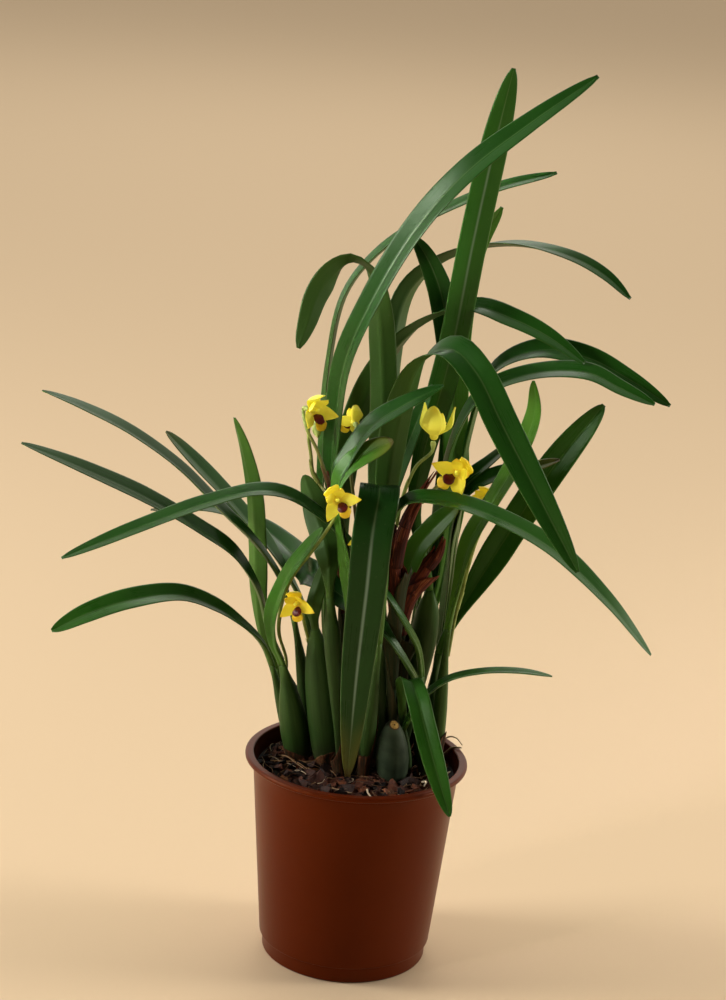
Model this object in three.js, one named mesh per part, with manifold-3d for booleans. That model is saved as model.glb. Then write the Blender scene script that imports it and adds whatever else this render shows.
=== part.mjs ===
// A potted orchid of the species Maxillaria variabilis, in millimetres, +Z up.
// The origin is the centre of the pot's foot, on the surface that the pot stands on.
// Each growth is a pseudobulb that narrows to a petiole and carries a strap leaf.
import * as THREE from 'three';
import { mergeVertices } from 'three/addons/utils/BufferGeometryUtils.js';
import Module from 'manifold-3d';

const wasm = await Module();
wasm.setup();

// Pot
const POT_HEIGHT = 113.3;
const LIP_OUTER_RADIUS = 60;
const LIP_INNER_RADIUS = 55.2;
const LIP_HEIGHT = 3;
const LIP_ROLL = 1;
const BODY_TOP_RADIUS = 55.7;
const BODY_BOTTOM_RADIUS = 46.7;
const FOOT_RADIUS = 44.8;
const FOOT_HEIGHT = 9.4;
const FOOT_LEAN = 0.5;
const FOOT_STEP_HEIGHT = 0.8;
const WALL = 1.5;
const BASE_TOP = 3;
const ROUND_SIDES = 32;
const DRAIN_HOLES = 6;
const DRAIN_RADIUS = 4;
const DRAIN_CIRCLE = 26;

// Potting mix
const CLEARANCE = 0.35;
const MIX_GAP = 0.4;
const SOIL_LEVEL = 105;
const PLANTING_DEPTH = 5;
const CHIP_COUNT = 18;
const CHIP_FIELD = 49;
const CHIP_SEED = 20;

// Leaves and pseudobulbs
const LEAF_SIDES = 8;
const LEAF_RINGS = 9;
const LEAF_HALF_THICKNESS = 0.55;
const LEAF_TIP_SHARE = 0.32;
const LEAF_TIP_CLOSING = 0.985;
const PETIOLE_ENDS = 0.04;
const BLADE_IS_FULL = 0.42;
const SIDE_LEAF_STARTS = 0.72;
const PETIOLE_HALF_WIDTH = 2.3;
const PETIOLE_HALF_THICKNESS = 1.5;
const PSEUDOBULB_OUTLINE = [
  [0, 0.62],
  [0.16, 0.92],
  [0.36, 1],
  [0.58, 0.78],
  [0.8, 0.42],
];

// Flowers
const SEPAL_LENGTH = 12.5;
const SEPAL_HALF_WIDTHS = [1.6, 3.4, 3.3, 0.8];
const PETAL_LENGTH = 9.5;
const PETAL_HALF_WIDTHS = [1.3, 2.9, 2.8, 0.8];
const LIP_HALF_WIDTHS = [1, 2, 2.3, 1.1];
const TEPAL_HALF_THICKNESS = 0.45;
const FLOWER_CENTRE_RADIUS = 1.9;
const STALK_RADIUS = 1.1;

// Where the plant is looked at from: places are given as they are seen from the front,
// across and up on the upright plane through the pot's axis, with their depth behind it.
const EYE_DISTANCE = 1132;
const EYE_HEIGHT = 574;

function seen([across, up, depth]) {
  const reach = 1 + depth / EYE_DISTANCE;
  return new THREE.Vector3(across * reach, depth, EYE_HEIGHT + (up - EYE_HEIGHT) * reach);
}

function onSoil([x, y]) {
  return new THREE.Vector3(x, y, SOIL_LEVEL - PLANTING_DEPTH);
}

function direction([compass, tilt]) {
  const turn = THREE.MathUtils.degToRad(compass);
  const rise = THREE.MathUtils.degToRad(tilt);
  return new THREE.Vector3(
    Math.cos(turn) * Math.cos(rise),
    Math.sin(turn) * Math.cos(rise),
    Math.sin(rise),
  );
}

function mix(a, b, share) {
  return a + (b - a) * share;
}

function smooth(value, low, high) {
  return THREE.MathUtils.smoothstep(value, low, high);
}

// A value read from evenly spaced pairs, such as the turn of a leaf from its base to its tip
function along(keys, share) {
  const place = THREE.MathUtils.clamp(share, 0, 1) * (keys.length - 1);
  const index = Math.min(Math.floor(place), keys.length - 2);
  const rest = place - index;
  return keys[index].map((value, i) => mix(value, keys[index + 1][i], rest));
}

// Solids
function solidOf(geometry) {
  const bare = geometry.clone();
  bare.deleteAttribute('normal');
  bare.deleteAttribute('uv');
  const merged = mergeVertices(bare, 1e-4);
  return new wasm.Manifold(new wasm.Mesh({
    numProp: 3,
    vertProperties: new Float32Array(merged.attributes.position.array),
    triVerts: new Uint32Array(merged.index.array),
  }));
}

function geometryOf(solid) {
  const { vertProperties, triVerts } = solid.getMesh();
  const geometry = new THREE.BufferGeometry();
  geometry.setAttribute('position', new THREE.BufferAttribute(vertProperties, 3));
  geometry.setIndex(new THREE.BufferAttribute(triVerts, 1));
  return geometry;
}

function joined(geometries) {
  return geometries.map(solidOf).reduce((whole, next) => whole.add(next));
}

function largestBody(solid) {
  return solid.decompose().sort((a, b) => b.volume() - a.volume())[0];
}

// One loft through stations, each a flattened ring round a point of the centre line
function ringPoint(station, angle) {
  const { centre, across, upper, halfWidth, halfThickness, fullness, fold } = station;
  const lobe = (value) => Math.sign(value) * Math.abs(value) ** fullness;
  const x = halfWidth * lobe(Math.cos(angle));
  const y = halfThickness * lobe(Math.sin(angle)) + fold * Math.abs(x);
  return centre.clone().addScaledVector(across, x).addScaledVector(upper, y);
}

function loft(stations, sides) {
  const positions = [];
  const faces = [];
  for (const station of stations) {
    for (let side = 0; side < sides; side += 1) {
      const point = ringPoint(station, (side / sides) * 2 * Math.PI);
      positions.push(point.x, point.y, point.z);
    }
  }
  const first = positions.length / 3;
  const last = first + 1;
  for (const end of [stations[0], stations.at(-1)]) {
    positions.push(end.centre.x, end.centre.y, end.centre.z);
  }
  for (let ring = 0; ring < stations.length - 1; ring += 1) {
    for (let side = 0; side < sides; side += 1) {
      const next = (side + 1) % sides;
      const a = ring * sides + side;
      const b = ring * sides + next;
      const c = a + sides;
      const d = b + sides;
      faces.push(a, c, b, b, c, d);
    }
  }
  const top = (stations.length - 1) * sides;
  for (let side = 0; side < sides; side += 1) {
    const next = (side + 1) % sides;
    faces.push(first, side, next);
    faces.push(last, top + next, top + side);
  }
  const geometry = new THREE.BufferGeometry();
  geometry.setAttribute('position', new THREE.Float32BufferAttribute(positions, 3));
  geometry.setIndex(faces);
  return geometry;
}

// The two directions of a ring: across the leaf, and out of its upper face
function ringFrame(heading, acrossWish) {
  const across = acrossWish.clone().addScaledVector(heading, -acrossWish.dot(heading)).normalize();
  const upper = new THREE.Vector3().crossVectors(across, heading);
  return { across, upper };
}

function growthCurve(points) {
  return new THREE.CatmullRomCurve3(points, false, 'centripetal');
}

// Distances along a curve at the given parameters, as shares of the stretch that they span
function shares(curve, parameters) {
  const points = parameters.map((t) => curve.getPoint(t));
  const sums = [0];
  for (let i = 1; i < points.length; i += 1) {
    sums.push(sums[i - 1] + points[i].distanceTo(points[i - 1]));
  }
  return sums.map((sum) => sum / sums.at(-1));
}

// Half the width of a strap leaf: a channelled petiole, a long blade and a rounded tip
function leafHalfWidth(share, { width, tip = LEAF_TIP_SHARE }) {
  const start = PETIOLE_HALF_WIDTH / (width / 2);
  const widening = mix(start, 1, smooth(share, PETIOLE_ENDS, BLADE_IS_FULL));
  const past = Math.max(0, (share - (1 - tip)) / tip);
  return (width / 2) * widening * Math.sqrt(1 - LEAF_TIP_CLOSING * past ** 2);
}

function leafStations(curve, parameters, leaf) {
  const share = shares(curve, parameters);
  return parameters.map((t, i) => {
    const blade = smooth(share[i], 0, 0.3);
    return {
      centre: curve.getPoint(t),
      ...ringFrame(curve.getTangent(t), direction(along(leaf.facing, share[i]))),
      halfWidth: leafHalfWidth(share[i], leaf),
      halfThickness: mix(PETIOLE_HALF_THICKNESS, LEAF_HALF_THICKNESS, blade),
      fullness: mix(0.8, 0.45, blade),
      fold: mix(0.3, 0.16, blade) * (1 - 0.6 * share[i]),
    };
  });
}

function pseudobulbStations(curve, span, { bulb, outline = PSEUDOBULB_OUTLINE, leaves }, swell = 0) {
  const [facing] = leaves[0].facing;
  return outline.map(([share, size]) => ({
    centre: curve.getPoint(share * span),
    ...ringFrame(curve.getTangent(share * span), direction(facing)),
    halfWidth: (bulb.width / 2) * size + swell,
    halfThickness: (bulb.thickness / 2) * size + swell,
    fullness: 1,
    fold: 0,
  }));
}

// A growth's centre line runs from its base through its neck and on along its first leaf
function growthLine(growth) {
  const leaf = growth.leaves[0];
  const points = [onSoil(growth.base), seen(growth.neck), ...leaf.points.map(seen)];
  return { curve: growthCurve(points), span: 1 / (points.length - 1) };
}

function mainGrowth(growth) {
  const { curve, span } = growthLine(growth);
  const leaf = growth.leaves[0];
  const steps = Array.from({ length: LEAF_RINGS + 1 }, (_, i) => mix(span, 1, i / LEAF_RINGS));
  const bulb = pseudobulbStations(curve, span, growth);
  return loft([...bulb, ...leafStations(curve, steps, leaf)], LEAF_SIDES);
}

// A second leaf starts inside the pseudobulb, below its neck
function sideLeaf(growth, leaf) {
  const { curve: stem, span } = growthLine(growth);
  const curve = growthCurve([stem.getPoint(span * SIDE_LEAF_STARTS), ...leaf.points.map(seen)]);
  const steps = Array.from({ length: LEAF_RINGS }, (_, i) => i / (LEAF_RINGS - 1));
  return loft(leafStations(curve, steps, leaf), LEAF_SIDES);
}

function growthSolid(growth) {
  const [, ...more] = growth.leaves;
  return joined([mainGrowth(growth), ...more.map((leaf) => sideLeaf(growth, leaf))]);
}

// The hole that a growth stands in is its own foot, a little larger
function growthHole(growth) {
  const { curve, span } = growthLine(growth);
  const foot = pseudobulbStations(curve, span, growth, CLEARANCE);
  return footHole(foot.slice(0, 3), LEAF_SIDES);
}

function footHole(stations, sides) {
  const first = stations[0];
  const below = { ...first, centre: first.centre.clone().add(new THREE.Vector3(0, 0, -CLEARANCE)) };
  return solidOf(loft([below, ...stations], sides));
}

// The growths, from left to right. Places are across, up and depth in millimetres, as seen from
// the front. The facing pairs turn the leaf's width from base to tip: a compass angle and a tilt.
const GROWTHS = {
  growth_low_left: {
    base: [-33, 26],
    neck: [-49, 161, 24],
    bulb: { width: 10, thickness: 9 },
    leaves: [{
      width: 15,
      facing: [[100, 5], [90, 5], [90, 10], [90, 16]],
      points: [[-55, 173, 20], [-67, 183, 11], [-81, 191, 1], [-100, 196, -11], [-126, 191, -24],
        [-148, 182, -32], [-167, 171, -37]],
    }],
  },
  growth_hook_left: {
    base: [-30, 10],
    neck: [-43, 162, 8],
    bulb: { width: 16, thickness: 15 },
    leaves: [{
      width: 12,
      facing: [[330, 0], [310, -10], [290, -25], [280, -35]],
      points: [[-48, 173, 6], [-50, 186, 3], [-47, 200, -3], [-42, 213, -9], [-34, 226, -14],
        [-26, 239, -19]],
    }],
  },
  growth_upright_left: {
    base: [-27, 38],
    neck: [-46, 159, 36],
    bulb: { width: 8, thickness: 7 },
    leaves: [{
      width: 13,
      facing: [[150, 0], [145, 0], [130, 0]],
      points: [[-54, 175, 34], [-59, 200, 33], [-61, 226, 33], [-64, 254, 33], [-70, 278, 32],
        [-76, 295, 30]],
    }],
  },
  growth_far_left: {
    base: [-19, 30],
    neck: [-44, 164, 33],
    bulb: { width: 9, thickness: 8 },
    leaves: [{
      width: 16,
      facing: [[90, 0], [90, 10], [90, 15], [90, 8]],
      points: [[-52, 181, 29], [-59, 202, 23], [-73, 221, 12], [-93, 234, 0], [-120, 248, -10],
        [-150, 260, -18], [-186, 273, -24]],
    }],
  },
  growth_high_left: {
    base: [-23, 22],
    neck: [-39, 189, 20],
    bulb: { width: 9, thickness: 9 },
    leaves: [{
      width: 16,
      facing: [[90, 0], [90, 3], [90, 4]],
      points: [[-47, 209, 20], [-60, 226, 21], [-80, 244, 24], [-104, 266, 27], [-130, 283, 29],
        [-154, 294, 31], [-176, 302, 32]],
    }],
  },
  growth_back_left: {
    base: [-13, 47],
    neck: [-33, 192, 43],
    bulb: { width: 9, thickness: 9 },
    leaves: [{
      width: 17,
      facing: [[90, 0], [90, 15], [90, 24]],
      points: [[-41, 208, 43], [-56, 228, 46], [-74, 248, 50], [-92, 266, 51], [-111, 285, 52]],
    }],
  },
  growth_tall_bulb: {
    base: [-14, 5],
    neck: [-27, 183, 5],
    bulb: { width: 18, thickness: 16 },
    outline: [[0, 0.7], [0.16, 0.93], [0.36, 1], [0.6, 0.9], [0.82, 0.6]],
    leaves: [{
      width: 9,
      facing: [[170, 0], [160, 0], [150, 0]],
      points: [[-29, 192, -1], [-28, 201, 0], [-26, 210, 2], [-24, 220, 3]],
    }],
  },
  growth_broad_left: {
    base: [-7, -9],
    neck: [-20, 201, -9],
    bulb: { width: 9, thickness: 9 },
    outline: [[0, 0.4], [0.25, 0.5], [0.5, 0.85], [0.7, 1], [0.88, 0.6]],
    leaves: [{
      width: 14,
      facing: [[185, 0], [178, 0], [170, 0], [160, 0]],
      points: [[-21, 211, -9], [-22, 221, -7], [-25, 233, -1], [-30, 246, 8], [-33, 255, 12],
        [-38, 267, 15]],
    }],
  },
  growth_low_back: {
    base: [38, -5],
    neck: [30, 153, 0],
    bulb: { width: 7, thickness: 7 },
    leaves: [{
      width: 16,
      facing: [[70, 0], [90, 40], [90, 40], [90, 25], [90, 15], [90, 8]],
      points: [[22, 168, -8], [13, 180, -11], [5, 190, -7], [-5, 197, -1], [-15, 203, 9],
        [-29, 212, 15], [-38, 221, 53], [-58, 236, 79], [-83, 245, 81], [-117, 242, 82]],
    }],
  },
  growth_cross_left: {
    base: [37, 10],
    neck: [31, 161, 7],
    bulb: { width: 9, thickness: 9 },
    leaves: [{
      width: 14,
      facing: [[60, 0], [90, 6], [90, 8], [90, 8]],
      points: [[28, 176, 1], [21, 188, -9], [14, 198, -14], [4, 211, -12], [-7, 225, -8],
        [-27, 244, -6], [-46, 255, -13], [-62, 256, -19], [-89, 247, -25], [-124, 231, -33],
        [-163, 212, -41]],
    }],
  },
  growth_front_fold: {
    base: [8, 5],
    neck: [10, 179, 4],
    bulb: { width: 11, thickness: 11 },
    leaves: [{
      width: 21,
      tip: 0.62,
      facing: [[180, 0], [180, 0], [180, 0]],
      points: [[7, 202, 2], [4, 236, -2], [3, 256, -9], [2, 264, -18], [2, 259, -27], [0, 238, -33],
        [-1, 207, -36], [-3, 160, -38], [-4, 100, -41]],
    }],
  },
  growth_tallest: {
    base: [22, 23],
    neck: [32, 209, 20],
    bulb: { width: 15, thickness: 13 },
    outline: [[0, 0.55], [0.2, 0.66], [0.45, 0.85], [0.7, 1], [0.88, 0.75]],
    leaves: [{
      width: 15,
      tip: 0.2,
      facing: [[0, 0], [0, 0], [5, 0]],
      points: [[26, 231, 20], [21, 252, 20], [23, 280, 20], [33, 335, 20], [40, 395, 18], [47, 446, 16],
        [53, 483, 13]],
    }],
  },
  growth_long_right: {
    base: [-1, 14],
    neck: [-6, 178, 15],
    bulb: { width: 11, thickness: 10 },
    leaves: [{
      width: 15,
      facing: [[325, 0], [315, -10], [308, -32], [295, -45], [280, -55]],
      points: [[-8, 210, 17], [-16, 240, 11], [-23, 268, 3], [-23, 300, -4], [-20, 330, -10],
        [-8, 363, -17], [11, 400, -22], [34, 430, -24], [64, 457, -21], [95, 482, -16]],
    }],
  },
  growth_thin_high: {
    base: [-6, 37],
    neck: [-20, 177, 34],
    bulb: { width: 10, thickness: 9 },
    leaves: [{
      width: 14,
      facing: [[300, 0], [293, 0], [278, -6], [272, 0]],
      points: [[-23, 205, 34], [-27, 245, 33], [-28, 285, 32], [-28, 325, 33], [-22, 364, 36],
        [-8, 385, 40], [20, 407, 45], [50, 423, 49], [79, 433, 52]],
    }],
  },
  growth_curl_back: {
    base: [23, 42],
    neck: [33, 190, 45],
    bulb: { width: 12, thickness: 11 },
    leaves: [{
      width: 15,
      facing: [[20, 0], [20, 0], [20, 0]],
      points: [[40, 225, 47], [43, 262, 48], [41, 310, 48], [42, 355, 46], [46, 390, 44], [54, 414, 42]],
    }, {
      width: 14,
      tip: 0.2,
      facing: [[10, 0], [5, 0], [0, 0], [0, 0], [0, -5]],
      points: [[33, 218, 48], [37, 265, 52], [37, 310, 52], [27, 364, 51], [21, 379, 51],
        [15, 389, 51], [9, 396, 52]],
    }],
  },
  growth_arch_far: {
    base: [10, 44],
    neck: [8, 179, 42],
    bulb: { width: 11, thickness: 10 },
    leaves: [{
      width: 15,
      facing: [[225, 0], [205, 5], [195, 20], [205, 30], [240, 20], [265, -10], [270, -30]],
      points: [[8, 218, 44], [5, 275, 48], [3, 332, 57], [10, 369, 64], [32, 388, 68], [60, 395, 65],
        [90, 391, 58], [108, 383, 54], [122, 372, 51]],
    }],
  },
  growth_arch_low: {
    base: [-2, 47],
    neck: [-10, 172, 42],
    bulb: { width: 10, thickness: 10 },
    leaves: [{
      width: 15,
      facing: [[225, 0], [205, 0], [195, 12], [195, 30], [235, 25], [262, -5], [270, -40]],
      points: [[-14, 212, 43], [-17, 252, 44], [-13, 297, 43], [0, 331, 38], [20, 353, 32], [42, 362, 27],
        [64, 357, 21], [83, 349, 17], [102, 337, 14]],
    }],
  },
  growth_folded_high: {
    base: [1, 27],
    neck: [5, 174, 25],
    bulb: { width: 12, thickness: 11 },
    leaves: [{
      width: 14.5,
      tip: 0.18,
      facing: [[185, 0], [183, 0], [180, 0], [180, 0], [178, 0], [170, 0], [120, -5], [25, -25],
        [5, -28]],
      points: [[4, 215, 26], [2, 267, 26], [0, 317, 25], [-5, 355, 22], [-11, 376, 18], [-20, 381, 12],
        [-29, 375, 6], [-37, 362, 2], [-41, 348, -1], [-45, 334, -4]],
    }, {
      width: 13,
      facing: [[320, 0], [315, 0], [320, 0]],
      points: [[4, 205, 21], [5, 245, 20], [11, 273, 19], [18, 297, 17], [25, 320, 14]],
    }],
  },
  growth_young_centre: {
    base: [-3, -3],
    neck: [-8, 202, -12],
    bulb: { width: 9, thickness: 9 },
    leaves: [{
      width: 15,
      tip: 0.4,
      facing: [[330, 0], [300, -25], [275, -35], [270, -35]],
      points: [[-12, 225, -18], [-17, 248, -20], [-19, 267, -21], [-15, 278, -20], [-4, 296, -20],
        [13, 309, -20], [31, 320, -20]],
    }, {
      width: 13,
      tip: 0.12,
      facing: [[330, 0], [300, -30], [280, -50]],
      points: [[-13, 225, -22], [-18, 247, -25], [-19, 264, -26], [-15, 273, -26], [-7, 280, -26],
        [7, 289, -27]],
    }],
  },
  growth_back_right: {
    base: [32, 36],
    neck: [42, 177, 37],
    bulb: { width: 9, thickness: 9 },
    leaves: [{
      width: 14,
      facing: [[290, 0], [280, -5], [270, -12], [270, -22], [270, -30]],
      points: [[43, 210, 39], [45, 250, 37], [47, 295, 35], [57, 330, 35], [78, 342, 34],
        [103, 340, 31], [126, 330, 27], [148, 318, 23]],
    }, {
      width: 13,
      facing: [[300, 0], [275, -20], [270, -30]],
      points: [[42, 215, 34], [44, 245, 30], [49, 265, 30], [62, 274, 30], [79, 279, 26], [94, 285, 22]],
    }, {
      width: 13,
      facing: [[300, 0], [275, -20], [270, -30]],
      points: [[42, 220, 36], [43, 250, 37], [47, 269, 38], [58, 281, 40], [72, 296, 42]],
    }],
  },
  growth_mid_right: {
    base: [13, 33],
    neck: [25, 181, 32],
    bulb: { width: 11, thickness: 10 },
    leaves: [{
      width: 15,
      facing: [[300, 0], [280, -12], [270, -22], [270, -10]],
      points: [[28, 214, 30], [34, 252, 28], [40, 293, 25], [52, 317, 22], [75, 329, 18], [104, 332, 14],
        [122, 325, 11], [140, 318, 8]],
    }],
  },
  growth_wide_arch: {
    base: [12, 19],
    neck: [15, 186, 13],
    bulb: { width: 13, thickness: 12 },
    leaves: [{
      width: 17,
      facing: [[180, 0], [183, 0], [196, 5], [215, -28], [200, -35], [190, -30], [185, -30]],
      points: [[9, 220, 12], [6, 265, 7], [11, 309, -1], [20, 333, -11], [34, 339, -19], [47, 328, -27],
        [63, 301, -34], [86, 263, -42], [109, 225, -48]],
    }],
  },
  growth_right_strap: {
    base: [4, -9],
    neck: [8, 178, -17],
    bulb: { width: 8, thickness: 8 },
    leaves: [{
      width: 15,
      facing: [[290, 0], [270, -4], [270, -20], [270, -30], [270, -25]],
      points: [[9, 208, -22], [10, 242, -20], [17, 256, -21], [36, 258, -24], [64, 251, -30],
        [95, 236, -38], [126, 210, -46], [152, 182, -50]],
    }],
  },
  growth_steep_right: {
    base: [39, 29],
    neck: [40, 175, 26],
    bulb: { width: 9, thickness: 9 },
    leaves: [{
      width: 17,
      facing: [[350, 0], [350, 0], [350, 0]],
      points: [[46, 192, 31], [56, 213, 37], [74, 249, 43], [93, 284, 49], [114, 316, 52]],
    }],
  },
  growth_bright_right: {
    base: [43, 17],
    neck: [44, 189, 14],
    bulb: { width: 8, thickness: 8 },
    leaves: [{
      width: 13,
      facing: [[310, 0], [305, 0], [320, 0]],
      points: [[47, 212, 12], [51, 236, 11], [60, 256, 9], [72, 283, 7], [79, 309, 6], [77, 326, 5]],
    }],
  },
  growth_low_right: {
    base: [28, 3],
    neck: [23, 138, 1],
    bulb: { width: 7, thickness: 6 },
    leaves: [{
      width: 12,
      tip: 0.4,
      facing: [[180, 0], [180, 0], [180, 0]],
      points: [[22, 149, -4], [22, 156, -9], [26, 157, -16], [30, 149, -24], [36, 130, -34],
        [44, 106, -44], [53, 81, -53]],
    }, {
      width: 9,
      facing: [[290, 0], [270, 0], [270, 0]],
      points: [[33, 147, -9], [46, 159, -12], [64, 165, -16], [83, 167, -19], [101, 166, -23]],
    }],
  },
};

// Young shoots wrapped in papery sheaths, each sheath a little wider at its mouth than the next
// one's foot. They carry flowers, and one of them a green leaf. A swell makes a shoot stouter
// where its sheaths overlap.
const SHOOTS = {
  shoot_left: {
    base: [-10, 21],
    radius: 1.9,
    swell: 0,
    points: [[-13, 144, 21], [-13, 178, 22], [-14, 206, 19], [-16, 228, 9], [-19, 244, 2],
      [-23, 257, -2], [-26, 270, -4]],
  },
  shoot_centre: {
    base: [18, 9],
    radius: 2.5,
    swell: 0.7,
    points: [[17, 150, 3], [15, 185, -2], [13, 215, -6], [15, 238, -8], [20, 253, -8], [31, 274, -10]],
  },
  shoot_leafy: {
    base: [24, 11],
    radius: 2.9,
    swell: 0.7,
    points: [[20, 150, 8], [19, 180, 5], [21, 203, 3], [28, 219, 2], [34, 229, 1], [37, 239, 0]],
    leaf: {
      width: 13,
      facing: [[340, 0], [325, -10], [318, -15]],
      points: [[20, 214, 4], [24, 231, 4], [32, 243, 4], [44, 257, 3]],
    },
  },
};
const SHOOT_SIDES = 6;
const SHEATHS_PER_SHOOT = 3;
const SHEATH_FLARE = 0.3;

function shootCurve(shoot) {
  return growthCurve([onSoil(shoot.base), ...shoot.points.map(seen)]);
}

// A shoot is widest where its broad sheaths overlap, and narrows to its tip
function shootRadius({ radius, swell }, share) {
  const broad = smooth(share, 0.3, 0.5) * (1 - smooth(share, 0.65, 0.85));
  return radius * mix(1, 0.3, smooth(share, 0.7, 1)) * (1 + swell * broad);
}

function shootStations(shoot, swell = 0) {
  const curve = shootCurve(shoot);
  const stations = [];
  for (let sheath = 0; sheath < SHEATHS_PER_SHOOT; sheath += 1) {
    for (const [within, size] of [[0.02, 1 - SHEATH_FLARE], [0.5, 1], [0.98, 1 - 0.5 * SHEATH_FLARE]]) {
      const share = (sheath + within) / SHEATHS_PER_SHOOT;
      const radius = shootRadius(shoot, share) * size + swell;
      stations.push({
        centre: curve.getPoint(share),
        ...ringFrame(curve.getTangent(share), direction([0, 0])),
        halfWidth: radius,
        halfThickness: radius,
        fullness: 1,
        fold: 0,
      });
    }
  }
  return stations;
}

function shootSolid(shoot) {
  const stem = loft(shootStations(shoot), SHOOT_SIDES);
  if (!shoot.leaf) return joined([stem]);
  const curve = growthCurve([shootCurve(shoot).getPoint(0.5), ...shoot.leaf.points.map(seen)]);
  const steps = Array.from({ length: LEAF_RINGS }, (_, i) => i / (LEAF_RINGS - 1));
  return joined([stem, loft(leafStations(curve, steps, shoot.leaf), LEAF_SIDES)]);
}

// The old pseudobulb has lost its leaf and ends in a round scar
const OLD_BULB_SIDES = 10;
const OLD_BULB = {
  base: [20, -8],
  top: [18, -9, 138],
  width: 18,
  outline: [[0, 0.7], [0.2, 0.93], [0.42, 1], [0.64, 0.9], [0.82, 0.68], [0.94, 0.46], [1, 0.3]],
};

function oldBulbStations(swell = 0) {
  const foot = onSoil(OLD_BULB.base);
  const top = new THREE.Vector3(...OLD_BULB.top);
  const heading = top.clone().sub(foot).normalize();
  return OLD_BULB.outline.map(([share, size]) => ({
    centre: foot.clone().lerp(top, share),
    ...ringFrame(heading, direction([0, 0])),
    halfWidth: (OLD_BULB.width / 2) * size + swell,
    halfThickness: (OLD_BULB.width / 2) * size + swell,
    fullness: 1,
    fold: 0,
  }));
}

// Flowers. Each faces the way that its facing points, and its stalk starts beside a shoot or
// beside the neck of a growth, at the given share of the host's line.
const FLOWERS = {
  flower_left_high: {
    place: [-36, 302, -16],
    facing: [0.75, -0.55, 0.15],
    roll: 20,
    size: 1.15,
    cup: 0.55,
    host: ['shoot_left', 0.86],
    stalk: [[-25, 263, -9], [-27, 269, -12], [-32, 281, -14], [-38, 292, -15]],
  },
  flower_left_inner: {
    place: [-14, 297, 16],
    facing: [-0.3, 0.9, 0.1],
    roll: 30,
    size: 0.9,
    cup: 0.3,
    host: ['growth_folded_high', 0.7],
    stalk: [[-3, 185, 19], [-6, 225, 16], [-11, 255, 12], [-15, 283, 11]],
  },
  flower_right_high: {
    place: [28, 293, -8],
    facing: [0.15, 0.35, 0.93],
    roll: 200,
    size: 1.3,
    cup: 0.85,
    host: ['shoot_centre', 0.7],
    stalk: [[14, 257, -6], [20, 276, -7]],
  },
  flower_right_low: {
    place: [42, 274, -12],
    facing: [-0.35, -0.9, 0.1],
    roll: -30,
    size: 1,
    cup: 0.3,
    host: ['shoot_centre', 0.86],
    stalk: [[33, 267, -5], [37, 267, -3]],
  },
  flower_centre: {
    place: [-20, 255, -37],
    facing: [0.1, -0.97, 0.1],
    roll: 40,
    size: 1.08,
    cup: 0.35,
    host: ['growth_hook_left', 0.75],
    stalk: [[-41, 164, 13], [-46, 180, 10], [-45, 197, 4], [-40, 212, -4], [-31, 226, -10],
      [-24, 238, -16], [-20, 248, -29]],
  },
  flower_right_outer: {
    place: [57, 262, 20],
    facing: [-0.3, -0.95, 0],
    roll: -10,
    size: 0.95,
    cup: 0.3,
    host: ['growth_bright_right', 0.75],
    stalk: [[47, 196, 22], [50, 214, 21], [54, 236, 19], [59, 253, 22]],
  },
  flower_hidden: {
    place: [-8, 234, -28.5],
    facing: [0, -1, 0],
    roll: 0,
    size: 0.46,
    cup: 0.2,
    host: ['growth_young_centre', 0.75],
    stalk: [[-3, 181, -20], [-5, 205, -26]],
  },
  flower_low_left: {
    place: [-37, 197, -12],
    facing: [-0.35, -0.93, -0.1],
    roll: 20,
    size: 1,
    cup: 0.3,
    host: ['growth_tall_bulb', 0.55],
    stalk: [[-25, 161, 17], [-29, 174, 12], [-32, 183, 3], [-34, 191, -6]],
  },
};
const BUD = {
  place: [-33, 293, -4],
  facing: [0.2, -0.25, -0.95],
  roll: 0,
  size: 1,
  host: ['shoot_left', 0.86],
  stalk: [[-28, 261, 3], [-33, 268, 4], [-35, 278, 3], [-37, 290, 1], [-36, 300, -1], [-34, 301, -3]],
};

// The three directions of a flower: to its right, up its middle sepal, and out of its face
function flowerFrame({ facing, roll }) {
  const out = new THREE.Vector3(...facing).normalize();
  const wish = Math.abs(out.z) > 0.9 ? new THREE.Vector3(0, 1, 0) : new THREE.Vector3(0, 0, 1);
  const up = wish.addScaledVector(out, -wish.dot(out)).normalize();
  up.applyAxisAngle(out, THREE.MathUtils.degToRad(roll));
  const right = new THREE.Vector3().crossVectors(up, out);
  return new THREE.Matrix4().makeBasis(right, up, out);
}

function flowerMatrix(flower) {
  const matrix = flowerFrame(flower);
  matrix.scale(new THREE.Vector3(1, 1, 1).multiplyScalar(flower.size));
  return matrix.setPosition(seen(flower.place));
}

// A petal, sepal or lip in the flower's own frame: it leans out in the direction of its turn
function tongue({ turn, outline, halfWidths, halfThickness }) {
  const angle = THREE.MathUtils.degToRad(turn);
  const outward = new THREE.Vector3(Math.cos(angle), Math.sin(angle), 0);
  const across = new THREE.Vector3(-Math.sin(angle), Math.cos(angle), 0);
  const points = outline.map(([out, front]) => outward.clone().multiplyScalar(out).setZ(front));
  const curve = growthCurve(points);
  const stations = halfWidths.map((halfWidth, i) => {
    const t = i / (halfWidths.length - 1);
    return {
      centre: curve.getPoint(t),
      ...ringFrame(curve.getTangent(t), across),
      halfWidth,
      halfThickness,
      fullness: 0.6,
      fold: 0,
    };
  });
  return loft(stations, 6);
}

function sepal(turn, cup) {
  const reach = SEPAL_LENGTH * mix(1, 0.6, cup);
  const outline = [[0.8, 0.2], [SEPAL_LENGTH * 0.5, mix(2.2, 4, cup)], [reach, mix(2.4, 11, cup)]];
  return tongue({ turn, outline, halfWidths: SEPAL_HALF_WIDTHS, halfThickness: TEPAL_HALF_THICKNESS });
}

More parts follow.
